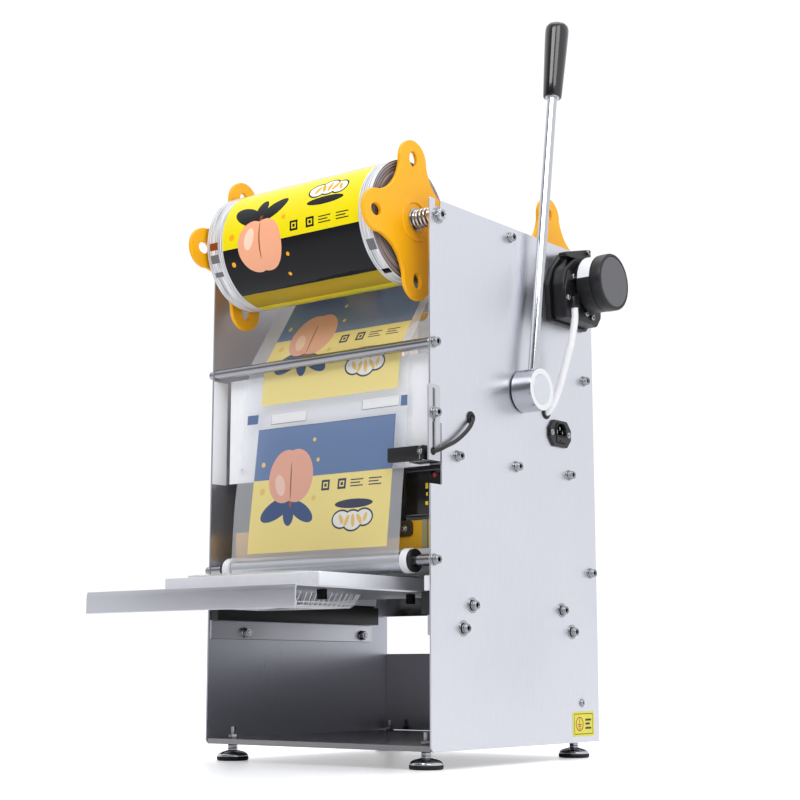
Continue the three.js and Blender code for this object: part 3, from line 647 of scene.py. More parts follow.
def fasten(name, mesh, points, direction, body="frame"):
    """The same screw at several points, each turned a little differently."""
    turn = Vector(DIRECTIONS[direction]).to_track_quat("Z", "Y").to_matrix().to_4x4()
    for i, point in enumerate(points):
        spin = Matrix.Rotation(random.uniform(0, math.pi), 4, "Z")
        show(f"{name}_{i + 1}", mesh, body, matrix=Matrix.Translation(at(*point)) @ turn @ spin)


# ---- the two cords, first ----
EYE_Z = 316.5
EYE_CABLE = [(160.3, -0.9, EYE_Z), (161.9, -0.9, EYE_Z), (165.5, 2, EYE_Z), (168.6, 5, 317.2),
             (171, 10.5, 319.5), (171.5, 18, 323), (170.5, 38, 331), (170.5, 58, 344), (169.5, 70, 355),
             (165, 75, 361.4), (161.5, 75, 362), (154, 76, 362.5)]
MOTOR_LEAD = [(192.6, 254, 515.5), (192.6, 253.6, 499), (189.5, 251, 476), (184, 247, 450), (178, 241, 420),
              (173, 235, 400), (167.5, 231.4, 389), (161.5, 231, 388), (154, 231, 388)]


def braid_material():
    tree = Tree("braided_sleeve", "braid")
    x, y, z = tree.split(tree.place)
    threads = 3400               # how closely the two directions of thread lie
    weave = tree.math("MULTIPLY",
                      tree.math("SINE", tree.math("MULTIPLY", tree.math("ADD", z, y), threads)),
                      tree.math("SINE", tree.math("MULTIPLY", tree.math("SUBTRACT", z, x), threads)))
    tree.set(Base_Color=tree.mix(tree.range(weave, 0, 1, -1, 1), linear(226, 226, 229),
                                 linear(255, 255, 255)),
             Roughness=0.6)
    tree.bump(weave, 0.3, 0.0004)
    return tree.material


braid = braid_material()


def make_cord(name, route, radius, material, node):
    line = smooth_path(route, 6)
    thing = Piece().swept(line, radius, material, 16).done(name, "frame", [node])


EYE_CABLE_RADIUS, MOTOR_LEAD_RADIUS = 2.4, 4.4
make_cord("eye_lead", EYE_CABLE, EYE_CABLE_RADIUS, cable_rubber, "eye_cable")
make_cord("motor_sleeve", MOTOR_LEAD, MOTOR_LEAD_RADIUS, braid, "motor_lead")

# ---- side plates ----
NOTCH = {"y": 20.6, "z0": 282, "z1": 349}
CABLE_HOLE, LEAD_HOLE = (75, 362), (231, 388)


def side_plate(side):
    top_slot = [(SUPPLY[0] + 5, HEIGHT, 1), *circle(5, SUPPLY, 12, 0, -math.pi), (SUPPLY[0] - 5, HEIGHT, 1)]
    corners = [(4, 0, 1), (DEPTH, 0, 2), (DEPTH, HEIGHT, 2), *top_slot, (0, HEIGHT, 2)]
    if side > 0:
        corners += [(0, NOTCH["z1"], 1), (NOTCH["y"], NOTCH["z1"], 1.5), (NOTCH["y"], NOTCH["z0"], 1.5),
                    (0, NOTCH["z0"], 1)]
    corners.append((0, 4, 1))
    holes = [circle(14.3, (MID_Y, SHAFT_Z), 48), circle(8, TAKEUP, 32)]
    if side > 0:
        holes += [circle(5, CABLE_HOLE, 32), circle(6, LEAD_HOLE, 32), box_outline(244.5, 272.5, 351, 379)]
    else:
        holes += [box_outline(226, 271, 342, 387), box_outline(285, 298, 354, 373)]
    x0 = INNER if side > 0 else -OUTER
    name = "right" if side > 0 else "left"
    # the left plate takes the darker copy of the plate metal, which is painted shade
    Piece().flat(rounded(corners), x0, x0 + 2, on_x(), stainless if side > 0 else stainless_left_painted_shade, holes,
                 edge=0.3) \
        .done(f"panel_side_{name}", "frame", [f"side_plate_{name}"])


side_plate(-1)
side_plate(1)

PLATE_SCREWS = [(6, 437), FRONT_ROLLER, TOP_ROD, REAR_ROD, (49, 316), (165, 316), (280, 317), (325, 201)]
WIDE_SCREWS = [(76, 154.5), (259, 154.3), (59, 129.2), (281, 129.3)]
for side, name, way in ((1, "right", "+x"), (-1, "left", "-x")):
    fasten(f"plate_screw_{name}", M6, [(side * OUTER, y, z) for y, z in PLATE_SCREWS], way)
    fasten(f"rail_screw_{name}", M6_BIG, [(side * OUTER, y, z) for y, z in WIDE_SCREWS], way)
    nuts = [(side * (INNER - 3.5), y, z) for y, z in WIDE_SCREWS[2:]]
    fasten(f"rail_nut_{name}", NUT, nuts, "-x" if side > 0 else "+x")
fasten("ground_screw", PAN, [(OUTER, 300, 46)], "+x")
ground = Piece().flat(box_outline(279, 327, 7, 36, 2.5), OUTER + 0.05, SEAT, on_x(), sticker_green,
                      edge=0.05)
ground.flat(box_outline(282, 324, 9.4, 33.6, 1), OUTER + 0.28, OUTER + 0.36, on_x(), label_black,
            [box_outline(282.8, 323.2, 10.2, 32.8, 0.6)], edge=0)
ground.turned([(SEAT, 7), (OUTER + 0.4, 7), (OUTER + 0.4, 8.4), (SEAT, 8.4), (SEAT, 7)],
              on_x(294, 21.5), dull_red, 40)
EARTH_BARS = ((293.4, 294.6, 21, 27), (289.5, 298.5, 20, 21.2), (291, 297, 17.8, 19),
              (292.6, 295.4, 15.6, 16.8))
TEXT_BARS = ((307, 320, 25, 27.4), (307, 317, 20.4, 22.8), (307, 320, 15.4, 17.8))
for bars, ink in ((EARTH_BARS, dull_red), (TEXT_BARS, label_black)):
    for bar in bars:
        ground.flat(box_outline(*bar), OUTER + 0.28, OUTER + 0.4, on_x(), ink, edge=0)
ground.done("ground_sticker", "frame")

for name, hole, bore, groove in (("eye", CABLE_HOLE, 2.6, 4.7), ("motor", LEAD_HOLE, 4.5, 5.7)):
    Piece().turned([(INNER - 1.6, bore), (INNER - 1.6, groove + 1.6), (INNER - 0.5, groove + 2.4),
                    (INNER - 0.1, groove + 2), (INNER - 0.1, groove), (OUTER + 0.1, groove),
                    (OUTER + 0.1, groove + 2.2), (OUTER + 0.6, groove + 2.6), (OUTER + 2, groove + 1.4),
                    (OUTER + 2.2, bore + 0.5), (OUTER + 1.6, bore), (INNER - 1.6, bore)], on_x(*hole),
                   rubber, 40) \
        .done(f"{name}_grommet", "frame")

# ---- base, feet, panels and rods ----
keep("base_pan", stainless_shaded)
keep("guide_plate", stainless_flat)
keep("rail_bar_left", stainless_flat)
keep("rail_bar_right", stainless_flat)
keep("front_cover", white_paint)
cover_side = Piece().flat(box_outline(0.8, 24, 304, 428.5, 0.6), 0.1 - INNER, 1.1 - INNER, on_x(),
                          white_paint, edge=0.2)
cover_side.done("front_cover_side", "frame")

FOOT_X, THREAD_PITCH = 141, 1.1


def levelling_foot(name, x, y):
    """A rubber pad in a steel bell, with its threaded stem and two nuts."""
    foot = Piece()
    foot.turned([(FLOOR, 0), (FLOOR, 16.5), (FLOOR + 0.8, 18.2), (FLOOR + 4.2, 18.5), (FLOOR + 5, 17.8),
                 (FLOOR + 5, 0)], on_z(x, y), rubber, 56)
    bell = [(4.6, 17.9), (5.6, 18.1), (6.8, 17.7), (8.2, 16.6), (9.6, 14.4), (10.7, 11.2), (11.4, 7.6),
            (11.8, 6.8), (11.8, 0), (4.6, 0)]
    foot.turned([(FLOOR + rise, radius) for rise, radius in bell], on_z(x, y), chrome, 56)
    foot.flat(hexagon(10), FLOOR + 11.6, FLOOR + 14.4, on_z(x, y), zinc, edge=0.4)
    foot.rod(2.9, FLOOR + 11, 20, on_z(x, y), zinc, 0.5, 24)
    for turn in range(16):
        low = FLOOR + 15.5 + turn * THREAD_PITCH
        foot.turned([(low, 2.6), (low + 0.5, 3.15), (low + 1, 2.6), (low, 2.6)], on_z(x, y), zinc, 24)
    foot.flat(hexagon(10), -4.6, -0.3, on_z(x, y), zinc, edge=0.4)
    foot.flat(hexagon(10), 6.6, 11, on_z(x, y), zinc, edge=0.4)
    foot.done(f"levelling_foot_{name}", "frame", [f"foot_{name}"])


for end, y in (("front", 22), ("rear", 318)):
    for half, side in SIDES:
        levelling_foot(f"{end}_{half}", side * FOOT_X, y)


REAR_FACE = 337.5


def rear_panel(name, node, z0, z1):
    Piece().flat(box_outline(-SPAN, SPAN, z0, z1, 2), 336, REAR_FACE, on_y(), stainless_shaded, edge=0.3) \
        .done(name, "frame", [node])


rear_panel("back_panel_lower", "rear_panel_lower", 6.8, 105.7)
rear_panel("back_panel_upper", "rear_panel_upper", 155, 420)
fasten("back_screw", PAN, [(side * 150, REAR_FACE, z) for side in (-1, 1) for z in (20, 92, 170, 290, 405)],
       "+y")
fasten("cover_screw", PAN_WHITE, [(x, 17, 319.5) for x in (-126, 126)], "-y")

for name, node, (y, z), radius in (("rod_upper_guide", "upper_guide_rod", UPPER_ROD, ROD_RADIUS),
                                   ("rod_rear_guide", "rear_guide_rod", REAR_ROD, REAR_ROD_RADIUS),
                                   ("rod_top_tie", "top_tie_rod", TOP_ROD, ROD_RADIUS)):
    Piece().rod(radius, -SPAN, SPAN, on_x(y, z), steel, 0.8).done(name, "frame", [node])

# ---- drawer rails: a black lower part with a white strip on it ----
RAIL_START, RAIL_END = 2, 305
for name, side in SIDES:
    rail = Piece()
    rail.block(*span(side, 150, SPAN), RAIL_START, RAIL_END, 143, 165.2, black_plastic, 0.5)
    rail.block(*span(side, 157.5, SPAN), RAIL_START, RAIL_END, 165, 167.6, black_plastic, 0.1)
    rail.done(f"rail_lower_{name}", "frame", [f"rail_{name}"])
    Piece().block(*span(side, 154, SPAN), RAIL_START, RAIL_END, 167.8, 184, white_nylon, 0.5) \
        .done(f"rail_strip_{name}", "frame")

# ---- drawer: bent plate, mould, seal, tray and stop pads ----
drawer_edge = rounded([(-200, 144.4, 0.8), (-198.1, 144.4, 0.8), (-198.1, 161.8, 0.4), (-197.2, 165.5, 0.4),
                       (96, 165.5, 0.3), (96, 167.4, 0.3), (-198.9, 167.4, 0.7), (-200, 162.2, 1.0)])
drawer = Piece().flat(drawer_edge, -150, 150, on_x(), stainless_flat, edge=0.3)
for side in (-1, 1):
    drawer.block(*span(side, 149.5, 156), 22, 96, 165.5, 167.4, stainless_flat, 0.3)
drawer.done("drawer_tray_plate", "drawer", ["drawer_plate"])

MOULD_EDGE = box_outline(-113.4, 113.4, -121, 79, 3)
POCKET = box_outline(-83, 83, -115, 19, 12)
Piece().flat(MOULD_EDGE, 167.7, 184.4, on_z(), aluminium, [POCKET], edge=0.7, steps=3) \
    .done("mould_slab", "drawer", ["mould"])
Piece().flat(box_outline(-87, 87, -119, 23, 15), 184.7, 185.9, on_z(), silicone, [POCKET], edge=0.4) \
    .done("sealing_gasket", "drawer", ["mould_gasket"])
fasten("mould_screw", M4, [(x, y, 184.5 - 3.5) for x in (-103, 103) for y in (40, 66)], "+z", "drawer")
for name, side in SIDES:
    pads = Piece()
    for y0, y1 in ((-131, -124), (17, 23)):
        pads.block(*span(side, 118, 126), y0, y1, 155.2, 165.4, pad_black, 0.8)
    pads.done(f"drawer_stop_pads_{name}", "drawer")


def pet_material():
    tree = Tree("clear_pet", "clear_pet")
    haze = tree.noise(160)
    facing = tree.nodes.new("ShaderNodeLayerWeight")
    facing.inputs["Blend"].default_value = 0.35
    edge = tree.math("POWER", facing.outputs["Facing"], 2.2)
    tree.set(Base_Color=tree.mix(haze, (0.8, 0.82, 0.83), (0.95, 0.96, 0.97)), IOR=1.5,
             Roughness=tree.range(haze, 0.03, 0.07), Alpha=tree.range(edge, 0.05, 0.75, 0, 1),
             Specular_IOR_Level=1.0)
    tree.bump(haze, 0.1, 0.0006)
    return tree.material


clear_pet = pet_material()
# white lines on the tray's rib crests and bottom edges: painted highlights
pet_highlight = surface("clear_pet_painted_highlight", "clear_pet", (252, 253, 255), 0.12, 0, 300, 0.03, 0.05, 0.05,
                   Alpha=0.85, Specular_IOR_Level=0.8)


def food_tray():
    """A thin clear tray with a flat rim, ribbed walls and a rounded bottom; it leans in most at the back."""
    top, bottom, half_x, y_front, y_back = 184, 156, 81, -113, 17
    lean = {"side": 8, "front": 6, "back": 22}
    count, ribs, rib_depth, rib_highlight_radius, rim_highlight_radius = 360, 60, 1.6, 0.4, 0.5

    def outline(inset, share, corner):
        x = half_x - inset - lean["side"] * share
        return box_outline(-x, x, y_front + inset + lean["front"] * share,
                           y_back - inset - lean["back"] * share, corner)

    # Each row is its height, its inset, its share of the lean and its share of the rib depth.
    rows = [(186.6, -6, 0, 0), (186.3, -6, 0, 0), (187.0, -5.2, 0, 0), (187.0, 0.3, 0, 0),
            (186.4, 0.8, 0, 0), (top, 1.0, 0, 0.2)]
    rows += [(top - (top - bottom) * k / 10, 1.0, k / 10, math.sin(math.pi * k / 10) ** 0.5)
             for k in range(1, 11)]
    rows += [(153.2, 2.2, 1, 0), (151.6, 4.5, 1, 0), (150.9, 8.5, 1, 0), (151.2, 16, 1, 0),
             (151.2, 26, 1, 0), (151.9, 28, 1, 0), (151.9, 50, 1, 0)]
    piece = Piece()
    index, rings, lines = piece._index(clear_pet), [], [[] for _ in range(ribs)]
    for z, inset, share, rib in rows:
        ring = []
        loop = outline(inset, share, max(2.0, 14 - inset * 0.3))
        total = sum(math.dist(p, q) for p, q in zip(loop, loop[1:] + loop[:1]))
        walked, k = 0.0, 0
        for i in range(count):
            want = total * i / count
            while walked + math.dist(loop[k], loop[(k + 1) % len(loop)]) < want:
                walked += math.dist(loop[k], loop[(k + 1) % len(loop)])
                k += 1
            p, q = Vector(loop[k]), Vector(loop[(k + 1) % len(loop)])
            point = p.lerp(q, (want - walked) / max((q - p).length, 1e-6))
            inward = Vector((-(q - p).y, (q - p).x)).normalized()
            point += inward * rib * rib_depth * max(0, math.cos(2 * math.pi * i * ribs / count)) ** 2
            ring.append((point.x, point.y, z))
            if i % (count // ribs) == 0 and bottom - 5 < z < top:
                lines[i // (count // ribs)].append(ring[-1])
        rings.append(piece._ring(ring, Matrix()))
    for low, high in zip(rings, rings[1:]):
        piece._band(low, high, index)
    piece._face(rings[-1], index)
    tray = piece.done("clear_food_tray", "drawer", ["food_tray"], sharp=50)
    skin = tray.modifiers.new("wall", "SOLIDIFY")
    skin.thickness, skin.offset = 0.0004, 0
    # white tubes along the rib crests and round the bottom: painted highlights on the clear tray
    edges = Piece()
    for line in lines:
        edges.swept(line, rib_highlight_radius, pet_highlight, 6)
    for inset, share, z in ((1.2, 0.98, 155.4), (4.4, 1, 151.4)):
        loop = outline(inset, share, 12)
        edges.swept([(x, y, z) for x, y in [*loop, loop[0]]], rim_highlight_radius, pet_highlight, 6)
    edges.done("tray_rib_painted_highlights", "drawer")


food_tray()

# ---- sealing head ----
HEAD_EDGE = box_outline(-150, 150, 24, 308, 3)
Piece().flat(HEAD_EDGE, 207, 215, on_z(), aluminium, edge=0.6, steps=3) \
    .done("heater_block", "head", ["heater_plate"])
board = Piece().flat(box_outline(-146, 146, 25, 307, 2), 215.3, 246, on_z(), amber_board, edge=0.5)
board.done("amber_insulation_board", "head", ["insulation_board"])
insert = Piece().flat(rounded([(60, 229), (122, 229, 5), (122, 246.4, 5), (60, 246.4)]), 23.2, 25.2, on_y(),
                      dark_board, edge=0.4)
insert.done("head_terminal_cover", "head")
Piece().flat(box_outline(135, 142, 215.4, 246.4, 0.6), 23.4, 25.2, on_y(), olive_board, edge=0.2) \
    .done("head_side_strip", "head")
fasten("head_front_screw", PAN_SMALL, [(110, 23.2, 237)], "-y", "head")
fasten("head_board_screw", M4, [(x, y, 244) for x in (-130, 130) for y in (45, 287)], "+z", "head")
for name, side in SIDES:
    Piece().rod(10, 246.3, 347.7, on_z(side * 100, MID_Y), chrome, 0.6, 48) \
        .done(f"head_column_{name}", "head", [f"press_column_{name}"])
    spring = Piece().coil(13.2, 1.6, 310.4, 347.5, 5.5, on_z(side * 100, MID_Y), steel) \
        .done(f"spring_return_{name}", "frame", [f"return_spring_{name}"])
    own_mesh(spring)
keep("crosshead", steel, 0.0008)

# ---- lever ----
keep("lever_shaft", steel, 0.0004)
SHAFT, HUB_BORE = on_x(MID_Y, SHAFT_Z), 10.3
hub = Piece()
hub.turned([(OUTER + 1.2, HUB_BORE), (OUTER + 1.2, 23.6), (OUTER + 2.4, 25), (191.6, 25), (192.8, 24.7),
            (192.8, 17.6), (191.4, 17.5), (191.4, HUB_BORE), (OUTER + 1.2, HUB_BORE)], SHAFT, hub_steel, 72)
hub.done("hub_ring", "lever", ["lever_hub"])
face = Piece().turned([(192.85, 17.6), (192.85, 24.5), (193, 24.3), (193, 17.8), (192.85, 17.6)], SHAFT,
                      hub_white, 72)
face.turned([(191.8, 0), (191.8, 17.4), (193, 17.4), (193.2, 17.2), (193.2, 0)], SHAFT, hub_centre, 72)
face.done("hub_face", "lever")
ARM = Matrix.Translation((LEVER_X, MID_Y, SHAFT_Z)) @ Matrix.Rotation(-LEAN, 4, "X")
Piece().rod(6, 23, 461, ARM, chrome, 0.8, 48).done("lever_bar", "lever", ["lever_rod"])
grip = Piece().turned([(378, 6.3), (378, 10), (378.6, 11), (380, 11.5), (400, 12.4), (440, 13.9),
                       (462, 14.6), (470, 14.7), (474, 14), (476.6, 12), (477.8, 8.5), (478, 0)], ARM,
                      black_gloss, 56)
grip.turned([(377, 6.05), (377, 8.6), (378.2, 8.8), (378.2, 6.05), (377, 6.05)], ARM, chrome, 40)
grip.done("lever_handle", "lever", ["lever_grip"])

# ---- printed film ----
# u is across the machine and v runs up the web in front, over the roll and on round it, both in mm.
PERIOD, YELLOW_TOP, PRINT_TOP = 175.5, 85.5, 146.5
PRINT_U, PRINT_HALF = 4, 103     # the print's middle and half its width
WEB_START = 216.5                # v where one print begins
PALETTE_FACE = {
    "band": (244, 226, 20), "band_two": (10, 11, 16), "fruit": (250, 178, 140),
    "fruit_light": (255, 220, 196), "leaf": (20, 22, 26), "mark": (250, 250, 250), "ribbon": (22, 22, 26),
    "star": (255, 176, 20), "stem": (140, 66, 34), "square": (112, 112, 116), "layer": (176, 150, 40)}
PALETTE_BACK = {
    "band": (238, 220, 146), "band_two": (108, 130, 168), "clear": (232, 235, 240),
    "fruit": (228, 172, 152), "fruit_light": (236, 202, 186), "leaf": (78, 96, 134),
    "mark": (232, 232, 226), "ribbon": (74, 78, 98),
    "star": (232, 196, 120), "stem": (150, 100, 84), "square": (86, 110, 152),
    # fold lines and glints: painted shade and a painted highlight
    "fold_shade": (128, 130, 138), "glint": (255, 255, 255)}
GLINT_COVER = 0.2                # how much more than clear film a glint covers


def printed_film(name, palette, alpha_print, alpha_clear, wound=False, waste=None):
    """Clear film with a repeating print of two bands and plain fruit and badge shapes.

    Wound film shows the layer below where it is clear, and its clear edges are streaked. Waste film is
    bare, in two cloudy shades, where its print was cut away with the lids.
    """
    tree = Tree(name, "film")
    node = tree.nodes.new("ShaderNodeAttribute")
    node.attribute_name = "film"
    parts = tree.split(node.outputs["Vector"])
    wrapped = tree.math("FLOORED_MODULO", tree.math("SUBTRACT", parts[1], WEB_START), PERIOD)
    join = tree.nodes.new("ShaderNodeCombineXYZ")
    tree.link(parts[0], join.inputs[0])
    tree.link(wrapped, join.inputs[1])
    spot = join.outputs[0]

    # Both say where the film's spot is inside a shape, as 1 or 0.
    def ellipse(cx, cy, rx, ry, angle=0.0):
        inside = tree.vector("LENGTH", tree.mapped(spot, (cx, cy, 0), angle, (rx, ry, 1)))
        return tree.math("LESS_THAN", inside, 1)

    def box(cx, cy, hx, hy, angle=0.0):
        local = tree.split(tree.vector("ABSOLUTE", tree.mapped(spot, (cx, cy, 0), angle, (hx, hy, 1))))
        return tree.math("LESS_THAN", tree.math("MAXIMUM", local[0], local[1]), 1)

    inked = box(PRINT_U, PRINT_TOP / 2, PRINT_HALF, PRINT_TOP / 2)
    lower = box(PRINT_U, YELLOW_TOP / 2, PRINT_HALF, YELLOW_TOP / 2)
    if wound:
        streaks = tree.noise((0.9, 0.02, 0), 3.0, node.outputs["Vector"])
        color = tree.mix(tree.range(streaks, 0, 1, 0.35, 0.65), linear(150, 153, 158),
                         linear(250, 251, 253))
        color = tree.mix(box(PRINT_U, (PRINT_TOP + PERIOD) / 2, PRINT_HALF, (PERIOD - PRINT_TOP) / 2),
                         color, linear(*palette["layer"]))
        marks = [("stem", box(-113, 78, 6.5, 4.5)), ("square", box(-113, 93, 6.5, 5)),
                 ("square", box(-113, 112, 6.5, 3)), ("square", box(117, 113, 5.5, 6.5)),
                 ("leaf", box(117, 150, 5.5, 4))]
    else:
        color = linear(*palette["clear"])
        marks = [("square", box(-110, 160, 8.5, 5.5)), ("square", box(118.5, 160.5, 5, 6))]
        # each pair is a glint, a painted highlight, framed by a darker fold line that is painted shade
        for cx, cy in ((-53, 157), (84, 161)):
            marks += [("fold_shade", tree.math("SUBTRACT", box(cx, cy, 27, 6), box(cx, cy + 0.5, 26.5, 5.5))),
                      ("glint", box(cx, cy + 0.5, 26.5, 5.5))]
    color = tree.mix(inked, color, linear(*palette["band_two"]))
    if not wound:
        inner = box(PRINT_U - 0.4, PRINT_TOP / 2 - 0.5, PRINT_HALF - 0.4, PRINT_TOP / 2 - 0.3)
        color = tree.mix(tree.math("SUBTRACT", inked, inner), color, linear(*palette["leaf"]))
    color = tree.mix(lower, color, linear(*palette["band"]))
    # Dots, leaves, stem, fruit, two square marks, six bars, and a badge of three rings with petals.
    layers = [
        *(("star", ellipse(x, y, r, r)) for x, y, r in ((-84, 72, 4), (-74, 40, 2.6), (-4, 60, 3),
                                                        (-2, 104, 2.4), (-86, 104, 3), (-10, 128, 2.4))),
        ("leaf", ellipse(-60, 50, 25, 11, 0.45)), ("leaf", ellipse(-22, 46, 21, 9, -0.55)),
        ("leaf", ellipse(-41, 44, 8, 14, 0.1)), ("stem", box(-40, 60, 2.0, 8, 0.15)),
        ("fruit", ellipse(-50, 88, 25, 31, -0.12)), ("fruit", ellipse(-33, 88, 25, 31, 0.12)),
        ("fruit_light", ellipse(-57, 78, 7, 13, 0.35)), ("stem", ellipse(-41, 82, 0.9, 22, 0.05)),
        *((key, box(x, 73.5, half, half)) for x in (12.5, 36.5)
          for key, half in (("ribbon", 6), ("band", 3.4), ("ribbon", 1.8))),
        *(("ribbon", box(x + dx, y, half, 0.7)) for x in (58, 84)
          for dx, y, half in ((0, 70, 9), (-2, 73.5, 7), (0, 77, 9))),
        *((key, ellipse(x, y, rx - rim, ry - rim)) for key, rim in (("ribbon", 0), ("mark", 2))
          for x, y, rx, ry in ((40, 33, 14, 11), (56, 31, 15, 12.5), (72, 34, 13, 10.5))),
        ("ribbon", ellipse(56, 50, 27, 5.2)), ("star", ellipse(40, 33, 2.6, 6, 0.5)),
        ("star", ellipse(48, 31, 2.6, 7, -0.4)), ("star", ellipse(57, 31, 2.6, 7.5, 0.1)),
        ("star", ellipse(66, 32, 2.6, 7, 0.6)), ("star", ellipse(74, 34, 2.2, 5.5, -0.3)),
    ]
    for key, mask in layers:
        color = tree.mix(mask, color, linear(*palette[key]))
    above = tree.math("GREATER_THAN", parts[1], WEB_START)
    cover = inked
    for key, mask in marks:
        mask = tree.math("MULTIPLY", mask, above)
        color = tree.mix(mask, color, linear(*palette[key]))
        share = GLINT_COVER if key == "glint" else 1.0
        cover = tree.math("MAXIMUM", cover, tree.math("MULTIPLY", mask, share))
    haze = tree.noise(25, 2.0)
    fine = tree.noise((14, 160, 60), 3.0)
    if waste:
        bare = box(PRINT_U, PRINT_TOP / 2, PRINT_HALF + 1, PRINT_TOP / 2 + 0.75)
        color = tree.mix(bare, color, tree.mix(tree.range(haze, 0, 1), *waste))
        cover = tree.math("MULTIPLY", cover, tree.math("SUBTRACT", 1.0, bare))
    tree.set(Base_Color=color, Alpha=tree.range(cover, alpha_clear, alpha_print, 0, 1),
             Roughness=tree.range(haze, 0.05, 0.12), IOR=1.45, Specular_IOR_Level=0.25 if wound else 0.5)
    tree.bump(fine, 0.1, 0.002)
    return tree.material


film_on_roll = printed_film("film_on_roll", PALETTE_FACE, 1.0, 1.0, wound=True)
film_hanging = printed_film("film_hanging", PALETTE_BACK, 0.94, 0.38)
waste_on_roll = printed_film("waste_on_roll", PALETTE_FACE, 1.0, 1.0, wound=True,
                             waste=(linear(196, 198, 203), linear(226, 227, 230)))
# the hanging waste's bare film is a darker grey than on the roll: painted shade at the back of the machine
waste_hanging = printed_film("waste_hanging", PALETTE_BACK, 0.94, 0.72,
                             waste=(linear(104, 106, 112), linear(190, 192, 197)))


def roll_end_material():
    """The side of a film roll: fine rings round its axis."""
    tree = Tree("film_layers", "film")
    parts = tree.split(tree.place)
    centre = at(0, *SUPPLY)
    dy, dz = tree.math("SUBTRACT", parts[1], centre.y), tree.math("SUBTRACT", parts[2], centre.z)
    square = tree.math("ADD", tree.math("MULTIPLY", dy, dy), tree.math("MULTIPLY", dz, dz))
    radius = tree.math("SQRT", square)
    join = tree.nodes.new("ShaderNodeCombineXYZ")
    tree.link(radius, join.inputs[0])
    tree.link(tree.math("ARCTAN2", dz, dy), join.inputs[1])
    rings = tree.noise((700, 0.35, 1), 4.0, join.outputs[0], 0.75)
    tree.set(Base_Color=tree.mix(tree.range(rings, 0, 1, 0.4, 0.62), linear(30, 22, 28),
                                 linear(176, 166, 170)),
             Roughness=0.3, Coat_Weight=0.3)
    tree.bump(rings, 0.25, 0.0006)
    return tree.material


roll_end = roll_end_material()


def tangent(point, centre, radius):
    """Angle where a straight run from a point below touches the back of a roll."""
    dy, dz = point[0] - centre[0], point[1] - centre[1]
    return math.atan2(dz, dy) + math.acos(radius / math.hypot(dy, dz))


CLEAR = 0.6                      # from a film's middle to what it runs over
ROD_BACK = (UPPER_ROD[0] + ROD_RADIUS + CLEAR, UPPER_ROD[1])
LEAVE_ANGLE = tangent(ROD_BACK, SUPPLY, ROLL_RADIUS + CLEAR)


def add_film_places(thing, places):
    """Keeps each vertex's place on the film, in u and v, for printed_film."""
    layer = thing.data.attributes.new("film", "FLOAT_VECTOR", "POINT")
    layer.data.foreach_set("vector", [c for place in places for c in place])


EDGE_FROM, EDGE_SHIFT = 100, 3.2  # u where the right edge begins, and its drift at most


def film_sheet(name, line, body, node, material, v0, shift, ripple, columns=64):
    """A film run across the machine from a line of (y, z) points, drifting sideways and rippled a little.

    Its right edge, beyond EDGE_FROM, drifts by EDGE_SHIFT at most and stays inside the flange.
    """
    bm = bmesh.new()
    places, rows, v = [], [], v0
    for i, (y, z) in enumerate(line):
        if i:
            v += math.dist(line[i - 1], line[i])
        row = []
        ahead, behind = line[min(i + 1, len(line) - 1)], line[max(i - 1, 0)]
        length = math.dist(ahead, behind)
        ny, nz = -(ahead[1] - behind[1]) / length, (ahead[0] - behind[0]) / length
        for k in range(columns + 1):
            u = -FILM_HALF + 2 * FILM_HALF * k / columns
            out = ripple(u, v)
            past = max(0, (u - EDGE_FROM) / (FILM_HALF - EDGE_FROM)) * max(0, shift(v) - EDGE_SHIFT)
            row.append(bm.verts.new(at(u + shift(v) - past, y + ny * out, z + nz * out)))
            places.append((u, v, 0))
        rows.append(row)
    for low, high in zip(rows, rows[1:]):
        for k in range(columns):
            bm.faces.new((low[k], low[k + 1], high[k + 1], high[k])).smooth = True
    mesh = bpy.data.meshes.new(name)
    bm.to_mesh(mesh)
    bm.free()
    mesh.materials.append(material)
    thing = show(name, mesh, body, [node])
    add_film_places(thing, places)
    return thing


def arc_line(centre, radius, start, end, steps):
    return [(centre[0] + radius * math.cos(math.radians(start + (end - start) * i / steps)),
             centre[1] + radius * math.sin(math.radians(start + (end - start) * i / steps)))
            for i in range(steps + 1)]


def straight(a, b, steps):
    return [(a[0] + (b[0] - a[0]) * i / steps, a[1] + (b[1] - a[1]) * i / steps) for i in range(steps + 1)]


ROLLER_WRAP = ROLLER_RADIUS + CLEAR
leave = (SUPPLY[0] + (ROLL_RADIUS + CLEAR) * math.cos(LEAVE_ANGLE),
         SUPPLY[1] + (ROLL_RADIUS + CLEAR) * math.sin(LEAVE_ANGLE))
front_down = arc_line(FRONT_ROLLER, ROLLER_WRAP, 266, 182, 10)
front_line = [*front_down, *straight(front_down[-1], (ROD_BACK[0], ROD_BACK[1] - 4), 40)[1:],
              *straight((ROD_BACK[0], ROD_BACK[1] + 4), leave, 20)]
wrap_length = sum(math.dist(a, b) for a, b in zip(front_down, front_down[1:]))


DRIFT_FROM, DRIFT_OVER, DRIFT = 230, 207, 8.5


def web_shift(v):
    """The web drifts to the right on its way up from the front roller."""
    return min(max((v - DRIFT_FROM) / DRIFT_OVER, 0), 1.6) * DRIFT


def web_ripple(u, v):
    """The free left edge curls and the middle sways between the rollers."""
    free = min(max((v - 205) / 40, 0), 1) * min(max((430 - v) / 60, 0), 1)
    sway = 0.7 * math.sin(u * 0.043 + v * 0.011) * math.sin(v * 0.017 + 1)
    curl = 2.2 * max(0, (-u - 98) / 26) ** 2 * (0.6 + 0.4 * math.sin(v * 0.05))
    curl += 1.2 * max(0, (u - 104) / 20) ** 2 * (0.5 + 0.5 * math.sin(v * 0.043 + 2))
    return free * (sway + curl)


